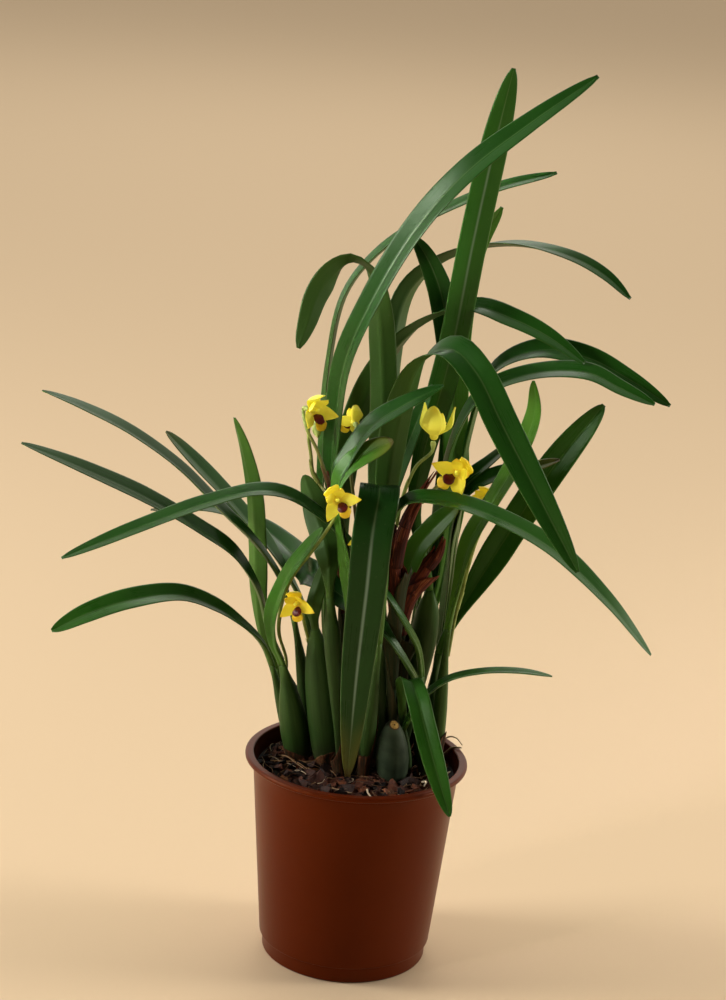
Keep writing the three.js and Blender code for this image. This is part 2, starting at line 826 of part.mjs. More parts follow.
function petal(turn) {
  const outline = [[0.8, 0.8], [PETAL_LENGTH * 0.45, 3.6], [PETAL_LENGTH * 0.8, 6.4]];
  return tongue({ turn, outline, halfWidths: PETAL_HALF_WIDTHS, halfThickness: TEPAL_HALF_THICKNESS });
}

function flowerCentre() {
  return new THREE.IcosahedronGeometry(FLOWER_CENTRE_RADIUS, 0);
}

function column() {
  const outline = [[0, 0], [0.7, 2.6], [0.5, 5]];
  return tongue({ turn: 90, outline, halfWidths: [1.2, 1], halfThickness: 1 });
}

function openFlower({ cup }) {
  const sepals = [90, 210, 330].map((turn) => sepal(turn, cup));
  return joined([flowerCentre(), column(), ...sepals, petal(38), petal(142)]);
}

function flowerLip() {
  const outline = [[2, 2], [3.4, 4.4], [6, 5.4], [8.6, 4.2]];
  return tongue({ turn: 270, outline, halfWidths: LIP_HALF_WIDTHS, halfThickness: TEPAL_HALF_THICKNESS });
}

function budHead() {
  const outline = [[0, -3], [0, 1], [0, 5]];
  return tongue({ turn: 90, outline, halfWidths: [1.1, 2.3, 2.6, 2, 0.7], halfThickness: 2 });
}

// A host's centre line, and how thick it is at a share of that line
function hostPlace([name, share], toward) {
  const shoot = SHOOTS[name];
  const growth = GROWTHS[name];
  const line = shoot ? { curve: shootCurve(shoot), span: 1 } : growthLine(growth);
  const axis = line.curve.getPoint(share * line.span);
  const radius = shoot ? shootRadius(shoot, share) : pseudobulbRadius(growth, share);
  const outward = toward.clone().sub(axis).setZ(0).normalize();
  return axis.addScaledVector(outward, radius + STALK_RADIUS + CLEARANCE);
}

function pseudobulbRadius({ bulb, outline = PSEUDOBULB_OUTLINE }, share) {
  const after = outline.findIndex(([place]) => place >= share);
  const [high, highSize] = outline[after];
  const [low, lowSize] = outline[after - 1];
  return (bulb.width / 2) * mix(lowSize, highSize, (share - low) / (high - low));
}

function stalk({ host, points, end }) {
  const curve = growthCurve([hostPlace(host, points[0]), ...points, end]);
  const count = points.length * 2 + 1;
  const stations = Array.from({ length: count }, (_, i) => {
    const t = i / (count - 1);
    return {
      centre: curve.getPoint(t),
      ...ringFrame(curve.getTangent(t), direction([0, 0])),
      halfWidth: STALK_RADIUS,
      halfThickness: STALK_RADIUS,
      fullness: 1,
      fold: 0,
    };
  });
  return loft(stations, 6);
}

function flowerStalk(flower) {
  const behind = FLOWER_CENTRE_RADIUS + CLEARANCE / flower.size;
  const [bend, end] = [behind + 4, behind].map(
    (distance) => new THREE.Vector3(0, 0, -distance).applyMatrix4(flowerMatrix(flower)),
  );
  return stalk({ host: flower.host, points: [...flower.stalk.map(seen), bend], end });
}

function budOnStalk() {
  const head = budHead().applyMatrix4(flowerMatrix(BUD));
  const stem = stalk({ host: BUD.host, points: BUD.stalk.map(seen), end: seen(BUD.place) });
  return joined([head, stem]);
}

// The pot: a tapered body on a stepped foot, a rolled lip, and drainage holes in its floor
function bodyRadius(z) {
  const share = (z - FOOT_HEIGHT) / (POT_HEIGHT - LIP_HEIGHT - FOOT_HEIGHT);
  return mix(BODY_BOTTOM_RADIUS, BODY_TOP_RADIUS, share);
}

function lathe(profile) {
  const points = profile.map(([radius, z]) => new THREE.Vector2(radius, z));
  return new THREE.LatheGeometry(points, ROUND_SIDES).rotateX(Math.PI / 2);
}

function potSolid() {
  const lipBottom = POT_HEIGHT - LIP_HEIGHT;
  const shell = lathe([
    [0, 0],
    [FOOT_RADIUS, 0],
    [FOOT_RADIUS + FOOT_LEAN, FOOT_HEIGHT],
    [BODY_BOTTOM_RADIUS, FOOT_HEIGHT + FOOT_STEP_HEIGHT],
    [BODY_TOP_RADIUS, lipBottom],
    [LIP_OUTER_RADIUS - LIP_ROLL, lipBottom],
    [LIP_OUTER_RADIUS, lipBottom + LIP_ROLL],
    [LIP_OUTER_RADIUS, POT_HEIGHT - LIP_ROLL],
    [LIP_OUTER_RADIUS - LIP_ROLL, POT_HEIGHT],
    [LIP_INNER_RADIUS + LIP_ROLL, POT_HEIGHT],
    [LIP_INNER_RADIUS, POT_HEIGHT - LIP_ROLL],
    [bodyRadius(lipBottom - 1) - WALL, lipBottom - 1],
    [BODY_BOTTOM_RADIUS - WALL, FOOT_HEIGHT + 1.4],
    [FOOT_RADIUS - WALL, FOOT_HEIGHT + 0.4],
    [FOOT_RADIUS - WALL - 0.2, BASE_TOP],
    [0, BASE_TOP],
  ]);
  let pot = solidOf(shell);
  for (let hole = 0; hole < DRAIN_HOLES; hole += 1) {
    const turn = (hole / DRAIN_HOLES) * 2 * Math.PI;
    const drill = new THREE.CylinderGeometry(DRAIN_RADIUS, DRAIN_RADIUS, 3 * BASE_TOP, 8);
    drill.rotateX(Math.PI / 2);
    drill.translate(DRAIN_CIRCLE * Math.cos(turn), DRAIN_CIRCLE * Math.sin(turn), BASE_TOP / 2);
    pot = pot.subtract(solidOf(drill));
  }
  return pot;
}

// The bark mix fills the pot, with chips lying half sunk in its surface
function seededRandom(seed) {
  let state = seed;
  return () => {
    state = (state * 1664525 + 1013904223) % 4294967296;
    return state / 4294967296;
  };
}

function barkChips() {
  const random = seededRandom(CHIP_SEED);
  const goldenAngle = Math.PI * (3 - Math.sqrt(5));
  return Array.from({ length: CHIP_COUNT }, (_, i) => {
    const radius = CHIP_FIELD * Math.sqrt((i + 0.5) / CHIP_COUNT) - 3;
    const chip = new THREE.BoxGeometry(mix(7, 14, random()), mix(4, 8, random()), mix(2.5, 4, random()));
    chip.rotateX(mix(-0.5, 0.5, random()));
    chip.rotateY(mix(-0.35, 0.35, random()));
    chip.rotateZ(2 * Math.PI * random());
    const place = goldenAngle * i;
    chip.translate(radius * Math.cos(place), radius * Math.sin(place), SOIL_LEVEL + mix(-0.6, 1, random()));
    return solidOf(chip);
  });
}

function pottingMixSolid() {
  const shoulder = FOOT_HEIGHT + 1;
  const footInside = FOOT_RADIUS - WALL - MIX_GAP;
  const body = solidOf(lathe([
    [0, BASE_TOP + CLEARANCE],
    [footInside - 0.2, BASE_TOP + CLEARANCE],
    [footInside, shoulder],
    [BODY_BOTTOM_RADIUS - WALL - MIX_GAP, shoulder + 1],
    [bodyRadius(SOIL_LEVEL) - WALL - MIX_GAP, SOIL_LEVEL],
    [0, SOIL_LEVEL],
  ]));
  const holes = [
    ...Object.values(GROWTHS).map(growthHole),
    ...Object.values(SHOOTS).map(shootHole),
    footHole(oldBulbStations(CLEARANCE), OLD_BULB_SIDES),
  ];
  const bark = barkChips().reduce((whole, chip) => whole.add(chip), body);
  return largestBody(holes.reduce((whole, hole) => whole.subtract(hole), bark));
}

function shootHole(shoot) {
  return footHole(shootStations(shoot, CLEARANCE).slice(0, 3), SHOOT_SIDES);
}

// Materials
function material(color, roughness) {
  return new THREE.MeshStandardMaterial({ color, roughness, metalness: 0 });
}

const POT_PLASTIC = material(0xa5431f, 0.38);
const BARK = material(0x3b2418, 0.95);
const LEAF = material(0x2f5a26, 0.42);
const OLD_PSEUDOBULB = material(0x5c7350, 0.7);
const SHEATH = material(0x6b3320, 0.8);
const PETAL = material(0xf2cb1c, 0.55);
const LIP = material(0x6d1410, 0.45);
const STALK = material(0x9aa852, 0.6);

const plant = new THREE.Group();

function place(name, geometry, surface) {
  const mesh = new THREE.Mesh(geometry, surface);
  mesh.name = name;
  plant.add(mesh);
}

place('pot', geometryOf(potSolid()), POT_PLASTIC);
place('potting_mix', geometryOf(pottingMixSolid()), BARK);
place('old_pseudobulb', loft(oldBulbStations(), OLD_BULB_SIDES), OLD_PSEUDOBULB);
for (const [name, growth] of Object.entries(GROWTHS)) {
  place(name, geometryOf(growthSolid(growth)), LEAF);
}
for (const [name, shoot] of Object.entries(SHOOTS)) {
  place(name, geometryOf(shootSolid(shoot)), SHEATH);
}
for (const [name, flower] of Object.entries(FLOWERS)) {
  place(name, geometryOf(openFlower(flower)).applyMatrix4(flowerMatrix(flower)), PETAL);
  place(`${name}_lip`, flowerLip().applyMatrix4(flowerMatrix(flower)), LIP);
  place(`${name}_stalk`, flowerStalk(flower), STALK);
}
place('bud', geometryOf(budOnStalk()), STALK);

export default plant;
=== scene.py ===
# %% [markdown]
# # A potted orchid
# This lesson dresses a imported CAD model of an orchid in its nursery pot. The plant is a clump of
# growths: each one is a pseudobulb, a swollen stem that stores water, which narrows to a petiole
# and carries a long strap leaf. Small yellow flowers stand on thin stalks between them.
# Every length is written in millimetres and turned to metres once, by the constant MM.

# %% The frame
import math
import random
from types import SimpleNamespace

import bmesh
import bpy
from mathutils import Matrix, Vector, noise


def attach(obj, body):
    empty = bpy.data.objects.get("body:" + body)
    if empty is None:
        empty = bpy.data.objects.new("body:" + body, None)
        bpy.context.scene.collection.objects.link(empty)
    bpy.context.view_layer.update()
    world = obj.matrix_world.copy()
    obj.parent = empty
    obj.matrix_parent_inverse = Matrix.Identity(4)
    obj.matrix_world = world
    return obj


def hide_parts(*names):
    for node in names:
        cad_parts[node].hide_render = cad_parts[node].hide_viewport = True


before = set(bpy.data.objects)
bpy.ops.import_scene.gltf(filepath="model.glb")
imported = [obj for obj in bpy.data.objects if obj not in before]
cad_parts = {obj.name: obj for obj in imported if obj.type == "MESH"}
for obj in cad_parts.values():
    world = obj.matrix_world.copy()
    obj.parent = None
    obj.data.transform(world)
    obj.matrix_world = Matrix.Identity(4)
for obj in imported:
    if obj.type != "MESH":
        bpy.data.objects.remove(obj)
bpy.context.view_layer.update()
MM = 0.001
TURN = 2 * math.pi
print("nodes in the frame:", len(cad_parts))

# %% [markdown]
# ## The camera
# The photograph looks down on the plant by about sixteen degrees from a little over a metre away,
# with the camera rolled by four degrees. Its matrix is built from its place and three directions,
# so nothing has to be aimed by hand.

# %% Camera
EYE = Vector((0, -1132.3, 573.9)) * MM
LOOK_RIGHT = Vector((0.99733, 0.02485, 0.06867))
LOOK_UP = Vector((-0.07283, 0.26934, 0.96029))
LENS_MM, SENSOR_MM = 81, 36
FAR_END = 20


def add_to_scene(name, data):
    made = bpy.data.objects.new(name, data)
    bpy.context.collection.objects.link(made)
    return made


lens = bpy.data.cameras.new("camera")
lens.lens = LENS_MM
lens.sensor_width = SENSOR_MM
lens.clip_end = FAR_END
camera = add_to_scene("camera", lens)
camera.matrix_world = Matrix.Translation(EYE) @ Matrix(
    (LOOK_RIGHT, LOOK_UP, LOOK_RIGHT.cross(LOOK_UP))).transposed().to_4x4()
bpy.context.scene.camera = camera

# %% [markdown]
# ## Finishes as expressions
# A material is a graph of nodes, but its maths reads better as Python. The class Field wraps one
# output socket, and its operators add the Math nodes. The class Finish holds one material and
# has a single method that adds any other node: it takes the node's type, its settings, and the
# values or links of its sockets.

# %% Fields and finishes
def colour(value):
    """A plain colour gets its fourth number; a field stays as it is."""
    return value if isinstance(value, Field) else (*value, 1)


def connect(target, value):
    """Feeds a socket from a field, or sets its value."""
    if isinstance(value, Field):
        target.id_data.links.new(value.socket, target)
    else:
        target.default_value = value


def socket(node, name):
    name = name.replace("_", " ")
    return next(s for s in node.inputs if s.enabled and s.name.lower() == name)


class Field:
    """A number that varies over a surface: an output socket with Python's operators."""

    def __init__(self, socket):
        self.socket = socket

    def math(self, operation, *values):
        node = self.socket.id_data.nodes.new("ShaderNodeMath")
        node.operation = operation
        for target, value in zip(node.inputs, values):
            connect(target, value)
        return Field(node.outputs[0])

    def __add__(self, other):
        return self.math("ADD", self, other)

    def __sub__(self, other):
        return self.math("SUBTRACT", self, other)

    def __rsub__(self, other):
        return self.math("SUBTRACT", other, self)

    def __mul__(self, other):
        return self.math("MULTIPLY", self, other)

    def __pow__(self, other):
        return self.math("POWER", self, other)

    __radd__ = __add__
    __rmul__ = __mul__

    def size(self):
        return self.math("ABSOLUTE", self)

    def sine(self):
        return self.math("SINE", self)

    def step(self, low, high):
        """0 below low, 1 above high, and smooth between them."""
        node = self.socket.id_data.nodes.new("ShaderNodeMapRange")
        node.interpolation_type = "SMOOTHSTEP"
        for name, value in (("value", self), ("from_min", low), ("from_max", high)):
            connect(socket(node, name), value)
        return Field(node.outputs["Result"])


class Finish:
    """One material, with a method that adds any node."""

    def __init__(self, name, kind="materials", **uniform):
        self.owner = getattr(bpy.data, kind).new(name)
        self.owner.use_nodes = True
        self.tree = self.owner.node_tree
        self.wear(**uniform)

    def wear(self, **values):
        """Feeds the shader's own sockets, and gives the material."""
        for name, value in values.items():
            if name.endswith("color") or name == "specular_tint":
                value = colour(value)
            connect(socket(self.tree.nodes["Principled BSDF"], name), value)
        return self.owner

    def node(self, kind, settings=None, output=0, **values):
        node = self.tree.nodes.new("ShaderNode" + kind)
        for setting, value in (settings or {}).items():
            if setting == "stops":
                ends = node.color_ramp.elements
                for element, (spot, paint) in zip(ends, (value[0], value[-1])):
                    element.position, element.color = spot, colour(paint)
                for spot, paint in value[1:-1]:
                    ends.new(spot).color = colour(paint)
            else:
                setattr(node, setting, value)
        for name, value in values.items():
            connect(socket(node, name), value)
        return Field(node.outputs[output])

    def marks(self, *names):
        """What the mesh says at each spot, by the names of its attributes."""
        return [self.node("Attribute", {"attribute_name": name}, output="Fac") for name in names]

    def place(self):
        return self.node("TexCoord", output="Object")

    def parts(self, vector):
        """The first two numbers of a vector."""
        split = self.node("SeparateXYZ", vector=vector)
        return split, Field(split.socket.node.outputs[1])

    def sheet(self):
        """Across and along, from the piece's own UV map."""
        return self.parts(self.node("UVMap", {"uv_map": "sheet"}))

    def grain(self, scale, detail=3.0, vector=None, roughness=0.5):
        return self.node("TexNoise", vector=vector or self.place(), scale=scale, detail=detail,
                         roughness=roughness)

    def fibres(self, detail, across, along, depth, roughness=0.5):
        """Grain that is drawn out, as fine across and along as the fields say."""
        return self.grain(1, detail, self.node("CombineXYZ", x=across, y=along, z=depth), roughness)

    def ramp(self, value, *stops):
        return self.node("ValToRGB", {"stops": stops}, fac=value)

    def blend(self, skin, *layers):
        """Lays paints over a skin one by one, each by its own share."""
        for share, paint in layers:
            skin = self.node("Mix", {"data_type": "RGBA"}, output=2, factor=share, a=colour(skin),
                             b=colour(paint))
        return skin

    def bump(self, height, strength, distance):
        return self.node("Bump", height=height, strength=strength, distance=distance * MM)


# %% [markdown]
# ## Lines that grow
# Every growth follows one smooth line: up through its pseudobulb and out along its leaf. The line
# passes through points that were read from the front, across and up on the upright plane through
# the pot's axis, each with its depth behind that plane. A Catmull-Rom curve passes through all of
# its points, and its centripetal form makes no loops where they lie close together.

# %% Centre lines
EYE_DISTANCE = 1132
EYE_HEIGHT = 574
PLANTED_AT = 100
SIDEWAYS = Vector((1, 0, 0))


def seen(place):
    """A point given as it is seen from the front, with its depth."""
    across, up, depth = place
    reach = 1 + depth / EYE_DISTANCE
    return Vector((across * reach, depth, EYE_HEIGHT + (up - EYE_HEIGHT) * reach)) * MM


def planted(base):
    return Vector((*base, PLANTED_AT)) * MM


def polar(radius, angle):
    return radius * math.cos(angle), radius * math.sin(angle)


def mix(first, second, share):
    return first + (second - first) * share


def bound(value, low=0, high=1):
    return min(high, max(low, value))


def smooth(value, low, high):
    share = bound((value - low) / (high - low))
    return share * share * (3 - 2 * share)


def between(keys, share):
    """A value between unevenly spaced keys."""
    for (low, a), (high, b) in zip(keys, keys[1:]):
        if share <= high:
            return mix(a, b, (share - low) / (high - low))
    return keys[-1][1]


def rounded(keys, share, reach):
    return sum(between(keys, bound(share + reach * step / 2)) for step in (-2, -1, 0, 1, 2)) / 5


def direction(turns, share):
    """Which way a face looks at a share of its length, between evenly spaced pairs of angles."""
    place = bound(share) * (len(turns) - 1)
    index = min(int(place), len(turns) - 2)
    compass, tilt = (math.radians(mix(a, b, place - index)) for a, b in zip(*turns[index:index + 2]))
    return Vector((*polar(math.cos(tilt), compass), math.sin(tilt)))


def curve(low, high, leave, arrive, w):
    """A cubic that leaves one value and arrives at the next with the slopes it is given."""
    return (low + leave * w + (high * 3 - low * 3 - leave * 2 - arrive) * w ** 2
            + (low * 2 - high * 2 + leave + arrive) * w ** 3)


class Line:
    """A centripetal Catmull-Rom curve through points, read by a parameter from 0 to 1."""

    STEPS = 240
    GLANCE = 0.004

    def __init__(self, points):
        self.points = [points[0] * 2 - points[1], *points, points[-1] * 2 - points[-2]]
        self.spans = len(points) - 1

    def point(self, t):
        place = bound(t) * self.spans
        index = min(int(place), self.spans - 1)
        p0, p1, p2, p3 = self.points[index:index + 4]
        d0, d1, d2 = (max(1e-6, (b - a).length) ** 0.5 for a, b in ((p0, p1), (p1, p2), (p2, p3)))
        leave = ((p1 - p0) / d0 - (p2 - p0) / (d0 + d1) + (p2 - p1) / d1) * d1
        arrive = ((p2 - p1) / d1 - (p3 - p1) / (d1 + d2) + (p3 - p2) / d2) * d1
        return curve(p1, p2, leave, arrive, place - index)

    def beside(self, t, wish, x, y):
        """A place beside the line: x millimetres towards the wish, and y at right angles to it."""
        heading = (self.point(t + self.GLANCE) - self.point(t - self.GLANCE)).normalized()
        across = (wish - heading * wish.dot(heading)).normalized()
        return self.point(t) + (across * x + across.cross(heading) * y) * MM

    def shares(self, start):
        """A reader that gives the parameter at a share of the length from start to the end."""
        steps = [mix(start, 1, i / self.STEPS) for i in range(self.STEPS + 1)]
        sums = [0.0]
        for low, high in zip(steps, steps[1:]):
            sums.append(sums[-1] + (self.point(high) - self.point(low)).length)

        def parameter(share):
            wanted = share * sums[-1]
            index = next((i for i, total in enumerate(sums[1:]) if total >= wanted), self.STEPS - 1)
            rest = (wanted - sums[index]) / max(1e-9, sums[index + 1] - sums[index])
            return mix(steps[index], steps[index + 1], rest)

        return parameter, sums[-1] / MM


# %% [markdown]
# ## One sleeve for everything that grows
# Leaves, stems, petals and sheaths are all sleeves: a sheet of faces rolled into a tube and drawn
# along a line. `create_grid` makes the flat sheet. Each of its vertices is then moved to its
# place, the two edges of the sheet are merged, and the ends are closed. The UV map says how far
# across and along a spot lies, and plain attributes say which face and which organ it is on.

# %% Sleeves
MARKS = ("upper", "organ", "tone", "dry", "shine")
PIECES = []


def body(name, mesh, finish):
    data = bpy.data.meshes.new(name)
    mesh.to_mesh(data)
    mesh.free()
    data.materials.append(finish)
    return add_to_scene(name, data)


def piece(name, mesh, finish, slot, *nodes):
    """Makes the object, which rides on the root body and stands for its nodes."""
    made = body(name, mesh, finish)
    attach(made, "root")
    if nodes:
        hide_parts(*nodes)
    PIECES.append(made)


class Tissue:
    """A mesh that collects sleeves, with the UV map and the marks that the finishes read."""

    def __init__(self):
        self.mesh = bmesh.new()
        self.sheet = self.mesh.loops.layers.uv.new("sheet")
        self.marks = {name: self.mesh.verts.layers.float.new(name) for name in MARKS}

    def mark(self, vertex, marks):
        for name, value in marks.items():
            vertex[self.marks[name]] = value

    def sleeve(self, sides, rings, surface, wall=None):
        """surface(around, along) gives a place, its spot on the sheet and its marks."""
        fresh = bmesh.ops.create_grid(self.mesh, x_segments=sides, y_segments=rings, size=0.5)["verts"]
        spots = {}
        for vertex in fresh:
            vertex.co, spots[vertex], marks = surface(vertex.co.x + 0.5, vertex.co.y + 0.5)
            self.mark(vertex, marks)
        faces = {face for vertex in fresh for face in vertex.link_faces}
        for face in faces:
            face.smooth = True
            for loop in face.loops:
                loop[self.sheet].uv = spots[loop.vert]
        bmesh.ops.remove_doubles(self.mesh, verts=fresh, dist=1e-6)
        faces = [face for face in faces if face.is_valid]
        if wall is None:
            rims = [edge for edge in {e for f in faces for e in f.edges} if edge.is_boundary]
            caps = bmesh.ops.holes_fill(self.mesh, edges=rims, sides=0)["faces"]
            for cap in caps:
                cap.smooth = True
                for loop in cap.loops:
                    loop[self.sheet].uv = spots.get(loop.vert, (0.5, 0))
            faces += caps
        bmesh.ops.recalc_face_normals(self.mesh, faces=faces)
        if wall:
            bmesh.ops.solidify(self.mesh, geom=faces, thickness=wall * MM)

    def stem(self, line, radius_at, marks, sides=16, rings=40):
        """A closed round stem whose radius and marks are functions of its share."""
        def surface(around, along):
            place = line.beside(along, SIDEWAYS, *polar(radius_at(along), TURN * around))
            return place, (around, along), marks(along)

        self.sleeve(sides, rings, surface)

    def finished(self, name, finish, slot, *nodes):
        piece(name, self.mesh, finish, slot, *nodes)


# %% [markdown]
# ## Leaf and pseudobulb
# A leaf of this orchid is a strap: a channelled petiole opens into a long blade with one sunk
# midrib above and a keel below, and closes in a rounded tip that is often a little uneven. The
# blade is under a millimetre thick. Its section is a flattened oval, folded along the midrib.
# The pseudobulb is drawn on the same line, so it runs into the petiole without a seam.

# %% Leaf shape
LEAF_SIDES = 28
LEAF_RINGS = 72
BULB_RINGS = 22
BLADE_HALF_THICKNESS = 0.42
PETIOLE_HALF_WIDTH = 2.3
PETIOLE_HALF_THICKNESS = 1.5
TIP_SHARE = 0.32
WAVE_LENGTH = 34
RIB_DEPTH = 0.16
FURROWS = 7
SIDE_LEAF_AT = 0.72
PSEUDOBULB_OUTLINE = ((0, 0.62), (0.16, 0.92), (0.36, 1.0), (0.58, 0.78), (0.8, 0.42))


def section(around, half_width, half_thickness, fullness, fold, groove):
    """A spot of a leaf's section: across, out of the upper face, its share across, its face."""
    evenly = 1 - 4 * around if around < 0.5 else 4 * around - 3
    share = mix(evenly, math.cos(TURN * around), 0.55)
    power = 2 / fullness
    rise = half_thickness * (1 - min(1, abs(share)) ** power) ** (1 / power)
    upper = around <= 0.5
    rib = groove * math.exp(-(share / 0.07) ** 2)
    rise = rise - rib if upper else -rise - 1.3 * rib
    x = half_width * share
    return x, rise + fold * abs(x), share, 0.5 if abs(share) > 0.9999 else float(upper)


def leaf_half_width(share, leaf):
    half = leaf.width / 2
    widening = mix(PETIOLE_HALF_WIDTH / half, 1, smooth(share, 0.04, 0.42))
    past = max(0, (share - (1 - leaf.tip)) / leaf.tip)
    return half * widening * max(0.02, 1 - past ** 2.1) ** 0.5


def add_leaf(tissue, line, start, leaf, look):
    parameter, length = line.shares(start)
    marks = {"organ": 1, "tone": look.tone, "dry": look.dry, "shine": look.shine}

    def surface(around, along):
        share = 1 - (1 - along) ** 1.25
        blade = smooth(share, 0, 0.3)
        half_thickness = mix(PETIOLE_HALF_THICKNESS, BLADE_HALF_THICKNESS, blade) * mix(
            1, 0.6, smooth(share, 0.9, 1))
        x, rise, spot, upper = section(
            around, leaf_half_width(share, leaf), half_thickness, mix(0.8, 0.5, blade),
            look.fold * (1 - 0.45 * share), RIB_DEPTH * blade)
        ripple = noise.noise(Vector((look.seed, share * length / WAVE_LENGTH, 3 * (spot > 0))))
        rise += look.wave * ripple * abs(spot) ** 2 * blade
        place = line.beside(parameter(share), direction(leaf.facing, share), x, rise)
        return place, (spot / 2 + 0.5, share), marks | {"upper": upper}

    tissue.sleeve(LEAF_SIDES, LEAF_RINGS, surface)


def bulb_size(outline, share, petiole):
    """How wide the pseudobulb is at a share of its height, smooth through its outline."""
    keys = (*outline, (1.0, petiole))
    after = max(1, next(i for i, key in enumerate(keys) if key[0] >= share or key is keys[-1]))
    (low, low_size), (high, high_size) = keys[after - 1:after + 1]
    before_size = keys[max(0, after - 2)][1]
    later_size = keys[min(len(keys) - 1, after + 1)][1]
    return curve(low_size, high_size, (high_size - before_size) / 2, (later_size - low_size) / 2,
                 (share - low) / (high - low))


def add_bulb(tissue, growth):
    halves = [(size / 2, petiole / (size / 2)) for size, petiole in zip(
        growth.bulb, (PETIOLE_HALF_WIDTH, PETIOLE_HALF_THICKNESS))]
    marks = {"upper": 1, "organ": 0, "tone": growth.look.tone, "dry": growth.look.dry}

    def surface(around, along):
        angle = TURN * around
        joint = smooth(along, 0.8, 1)
        furrow = 0.02 * math.sin(FURROWS * angle + growth.look.seed) * smooth(along, 0, 0.2)
        x, y = (half * bulb_size(growth.outline, along, petiole) * side * (1 + furrow * (1 - joint))
                for (half, petiole), side in zip(halves, polar(1, angle)))
        place = growth.line.beside(along / growth.line.spans, direction(growth.leaves[0].facing, 0),
                                   x, y + 0.3 * abs(x) * joint)
        return place, (around, along), marks

    tissue.sleeve(LEAF_SIDES, BULB_RINGS, surface)


def grow(name, growth):
    """One growth: its pseudobulb, its main leaf, and the side leaves that start below its neck."""
    tissue = Tissue()
    add_bulb(tissue, growth)
    neck = 1 / growth.line.spans
    add_leaf(tissue, growth.line, neck * 0.985, growth.leaves[0], growth.look)
    for number, leaf in enumerate(growth.leaves[1:], 1):
        own = vars(growth.look) | growth.look.side | {"seed": growth.look.seed + 31 * number}
        side = Line([growth.line.point(neck * SIDE_LEAF_AT), *leaf.points])
        add_leaf(tissue, side, 0, leaf, SimpleNamespace(**own))
    tissue.finished(name + "_fine", LEAF_FINISH, "leaf", name)


# %% [markdown]
# ## The finish of a living leaf
# Seen close, a leaf of this orchid is a deep green with a soft gloss. Fine parallel veins run its
# whole length, the midrib is a pale line above, and its cut edge carries a thin pale line, a painted
# highlight. Beneath it is paler, yellower and duller. The mark "tone" makes a leaf brighter, "shine"
# lays a painted highlight along its middle as a bright streak, and "dry" turns its tip yellow and
# brown. The pseudobulb shares the material, because it is one body with its leaf: the mark "organ"
# tells them apart.

# %% Leaf finish
leaf = Finish("leaf_finish", specular_ior_level=0.26, specular_tint=(0.82, 1, 0.74))
across, along = leaf.sheet()
upper, organ, tone, dry, shine = leaf.marks("upper", "organ", "tone", "dry", "shine")
organ = organ.step(0.4, 0.6)
middle = (across * 2 - 1).size()
fibres = leaf.fibres(4, across * 34, along * 3, tone * 9)
clouds = leaf.grain(55)
veins = (across * 170).sine() * 0.5 + 0.5
# painted highlight: a pale streak along the middle of the upper face, as strong as the mark shine
streak = (1 - middle.step(0.01, 0.14)) * along.step(0.42, 0.6) * (1 - along.step(0.8, 0.95))
rib = 1 - middle.step(0.015, 0.06)
blade = leaf.ramp(
    tone + clouds * 0.16 - 0.08, (0, (0.007, 0.036, 0.005)), (0.35, (0.021, 0.1, 0.009)),
    (0.7, (0.066, 0.205, 0.016)), (1, (0.16, 0.34, 0.04)))
skin = leaf.blend(
    blade,
    ((1 - upper.step(0.3, 0.7)) * 0.4, (0.08, 0.14, 0.025)),                             # beneath
    ((fibres * 0.5 + veins * 0.12) * 0.55, (0.004, 0.02, 0.004)),                        # veins
    (rib * upper * (0.16 + along * 0.12), (0.19, 0.27, 0.11)),                           # midrib
    (streak * upper * shine * (0.4 + fibres * 0.6), (0.21, 0.3, 0.21)),                  # streak
    # painted highlight: a thin pale line along the cut edge, where the edge would catch the light
    (middle.step(0.97, 0.992) * 0.45, (0.165, 0.23, 0.075)),                             # cut edge
    ((1 - along.step(0.02, 0.22)) * 0.35, (0.1, 0.185, 0.035)),                          # petiole
    ((along + clouds * 0.05 + middle * 0.04).step(0.9, 1.04) * dry * 0.85, (0.165, 0.125, 0.016)),
    ((along + clouds * 0.02).step(0.985, 1) * dry, (0.085, 0.045, 0.02)),                # burnt tip
    (leaf.grain(900, 2).step(0.66, 0.74) * 0.1, (0.17, 0.2, 0.11)))                      # flecks
streaks = leaf.fibres(5, across * 26, along * 4, tone * 7)
bulb = leaf.blend(
    leaf.ramp(tone * 0.6 + streaks * 0.5 - 0.1, (0, (0.009, 0.026, 0.004)),
              (0.5, (0.026, 0.062, 0.009)), (1, (0.075, 0.15, 0.024))),
    # the foot is brown, and darkened further as painted shade where the pseudobulb meets the mix
    ((1 - along.step(0.04, 0.3)) * 0.8, (0.022, 0.014, 0.007)),                          # foot
    (along.step(0.72, 1) * 0.7, (0.06, 0.13, 0.022)))                                    # neck
gloss = 0.4 - upper * 0.2 + clouds * 0.1 + fibres * 0.08
LEAF_FINISH = leaf.wear(
    base_color=leaf.blend(bulb, (organ, skin)), roughness=0.5 + (gloss - 0.5) * organ,
    normal=leaf.bump(fibres * 0.5 + veins * 0.35 + clouds * 0.3, 0.4, 0.12))

# %% [markdown]
# ## The old pseudobulb
# It has lost its leaf long ago. Its skin is a matt grey green with faint darker streaks, and the
# leaf has left a round scar: a tan disc with a brown rim and a small dark spot.

# %% Old pseudobulb finish
old = Finish("old_pseudobulb_finish", specular_ior_level=0.12)
scar, = old.marks("organ")
grey = old.ramp(old.grain(140, 4), (0.25, (0.02, 0.032, 0.016)), (0.6, (0.038, 0.055, 0.028)),
                (0.9, (0.062, 0.082, 0.044)))
tan = old.ramp(old.grain(900), (0.35, (0.3, 0.16, 0.035)), (0.7, (0.52, 0.33, 0.09)))
OLD_BULB_FINISH = old.wear(
    base_color=old.blend(grey, (scar.step(0.3, 0.36), (0.06, 0.03, 0.013)),
                         (scar.step(0.44, 0.52), tan), (scar.step(0.86, 0.92), (0.06, 0.03, 0.01))),
    roughness=0.52 + old.grain(300, 2) * 0.15, normal=old.bump(old.grain(260, 4), 0.25, 0.2))
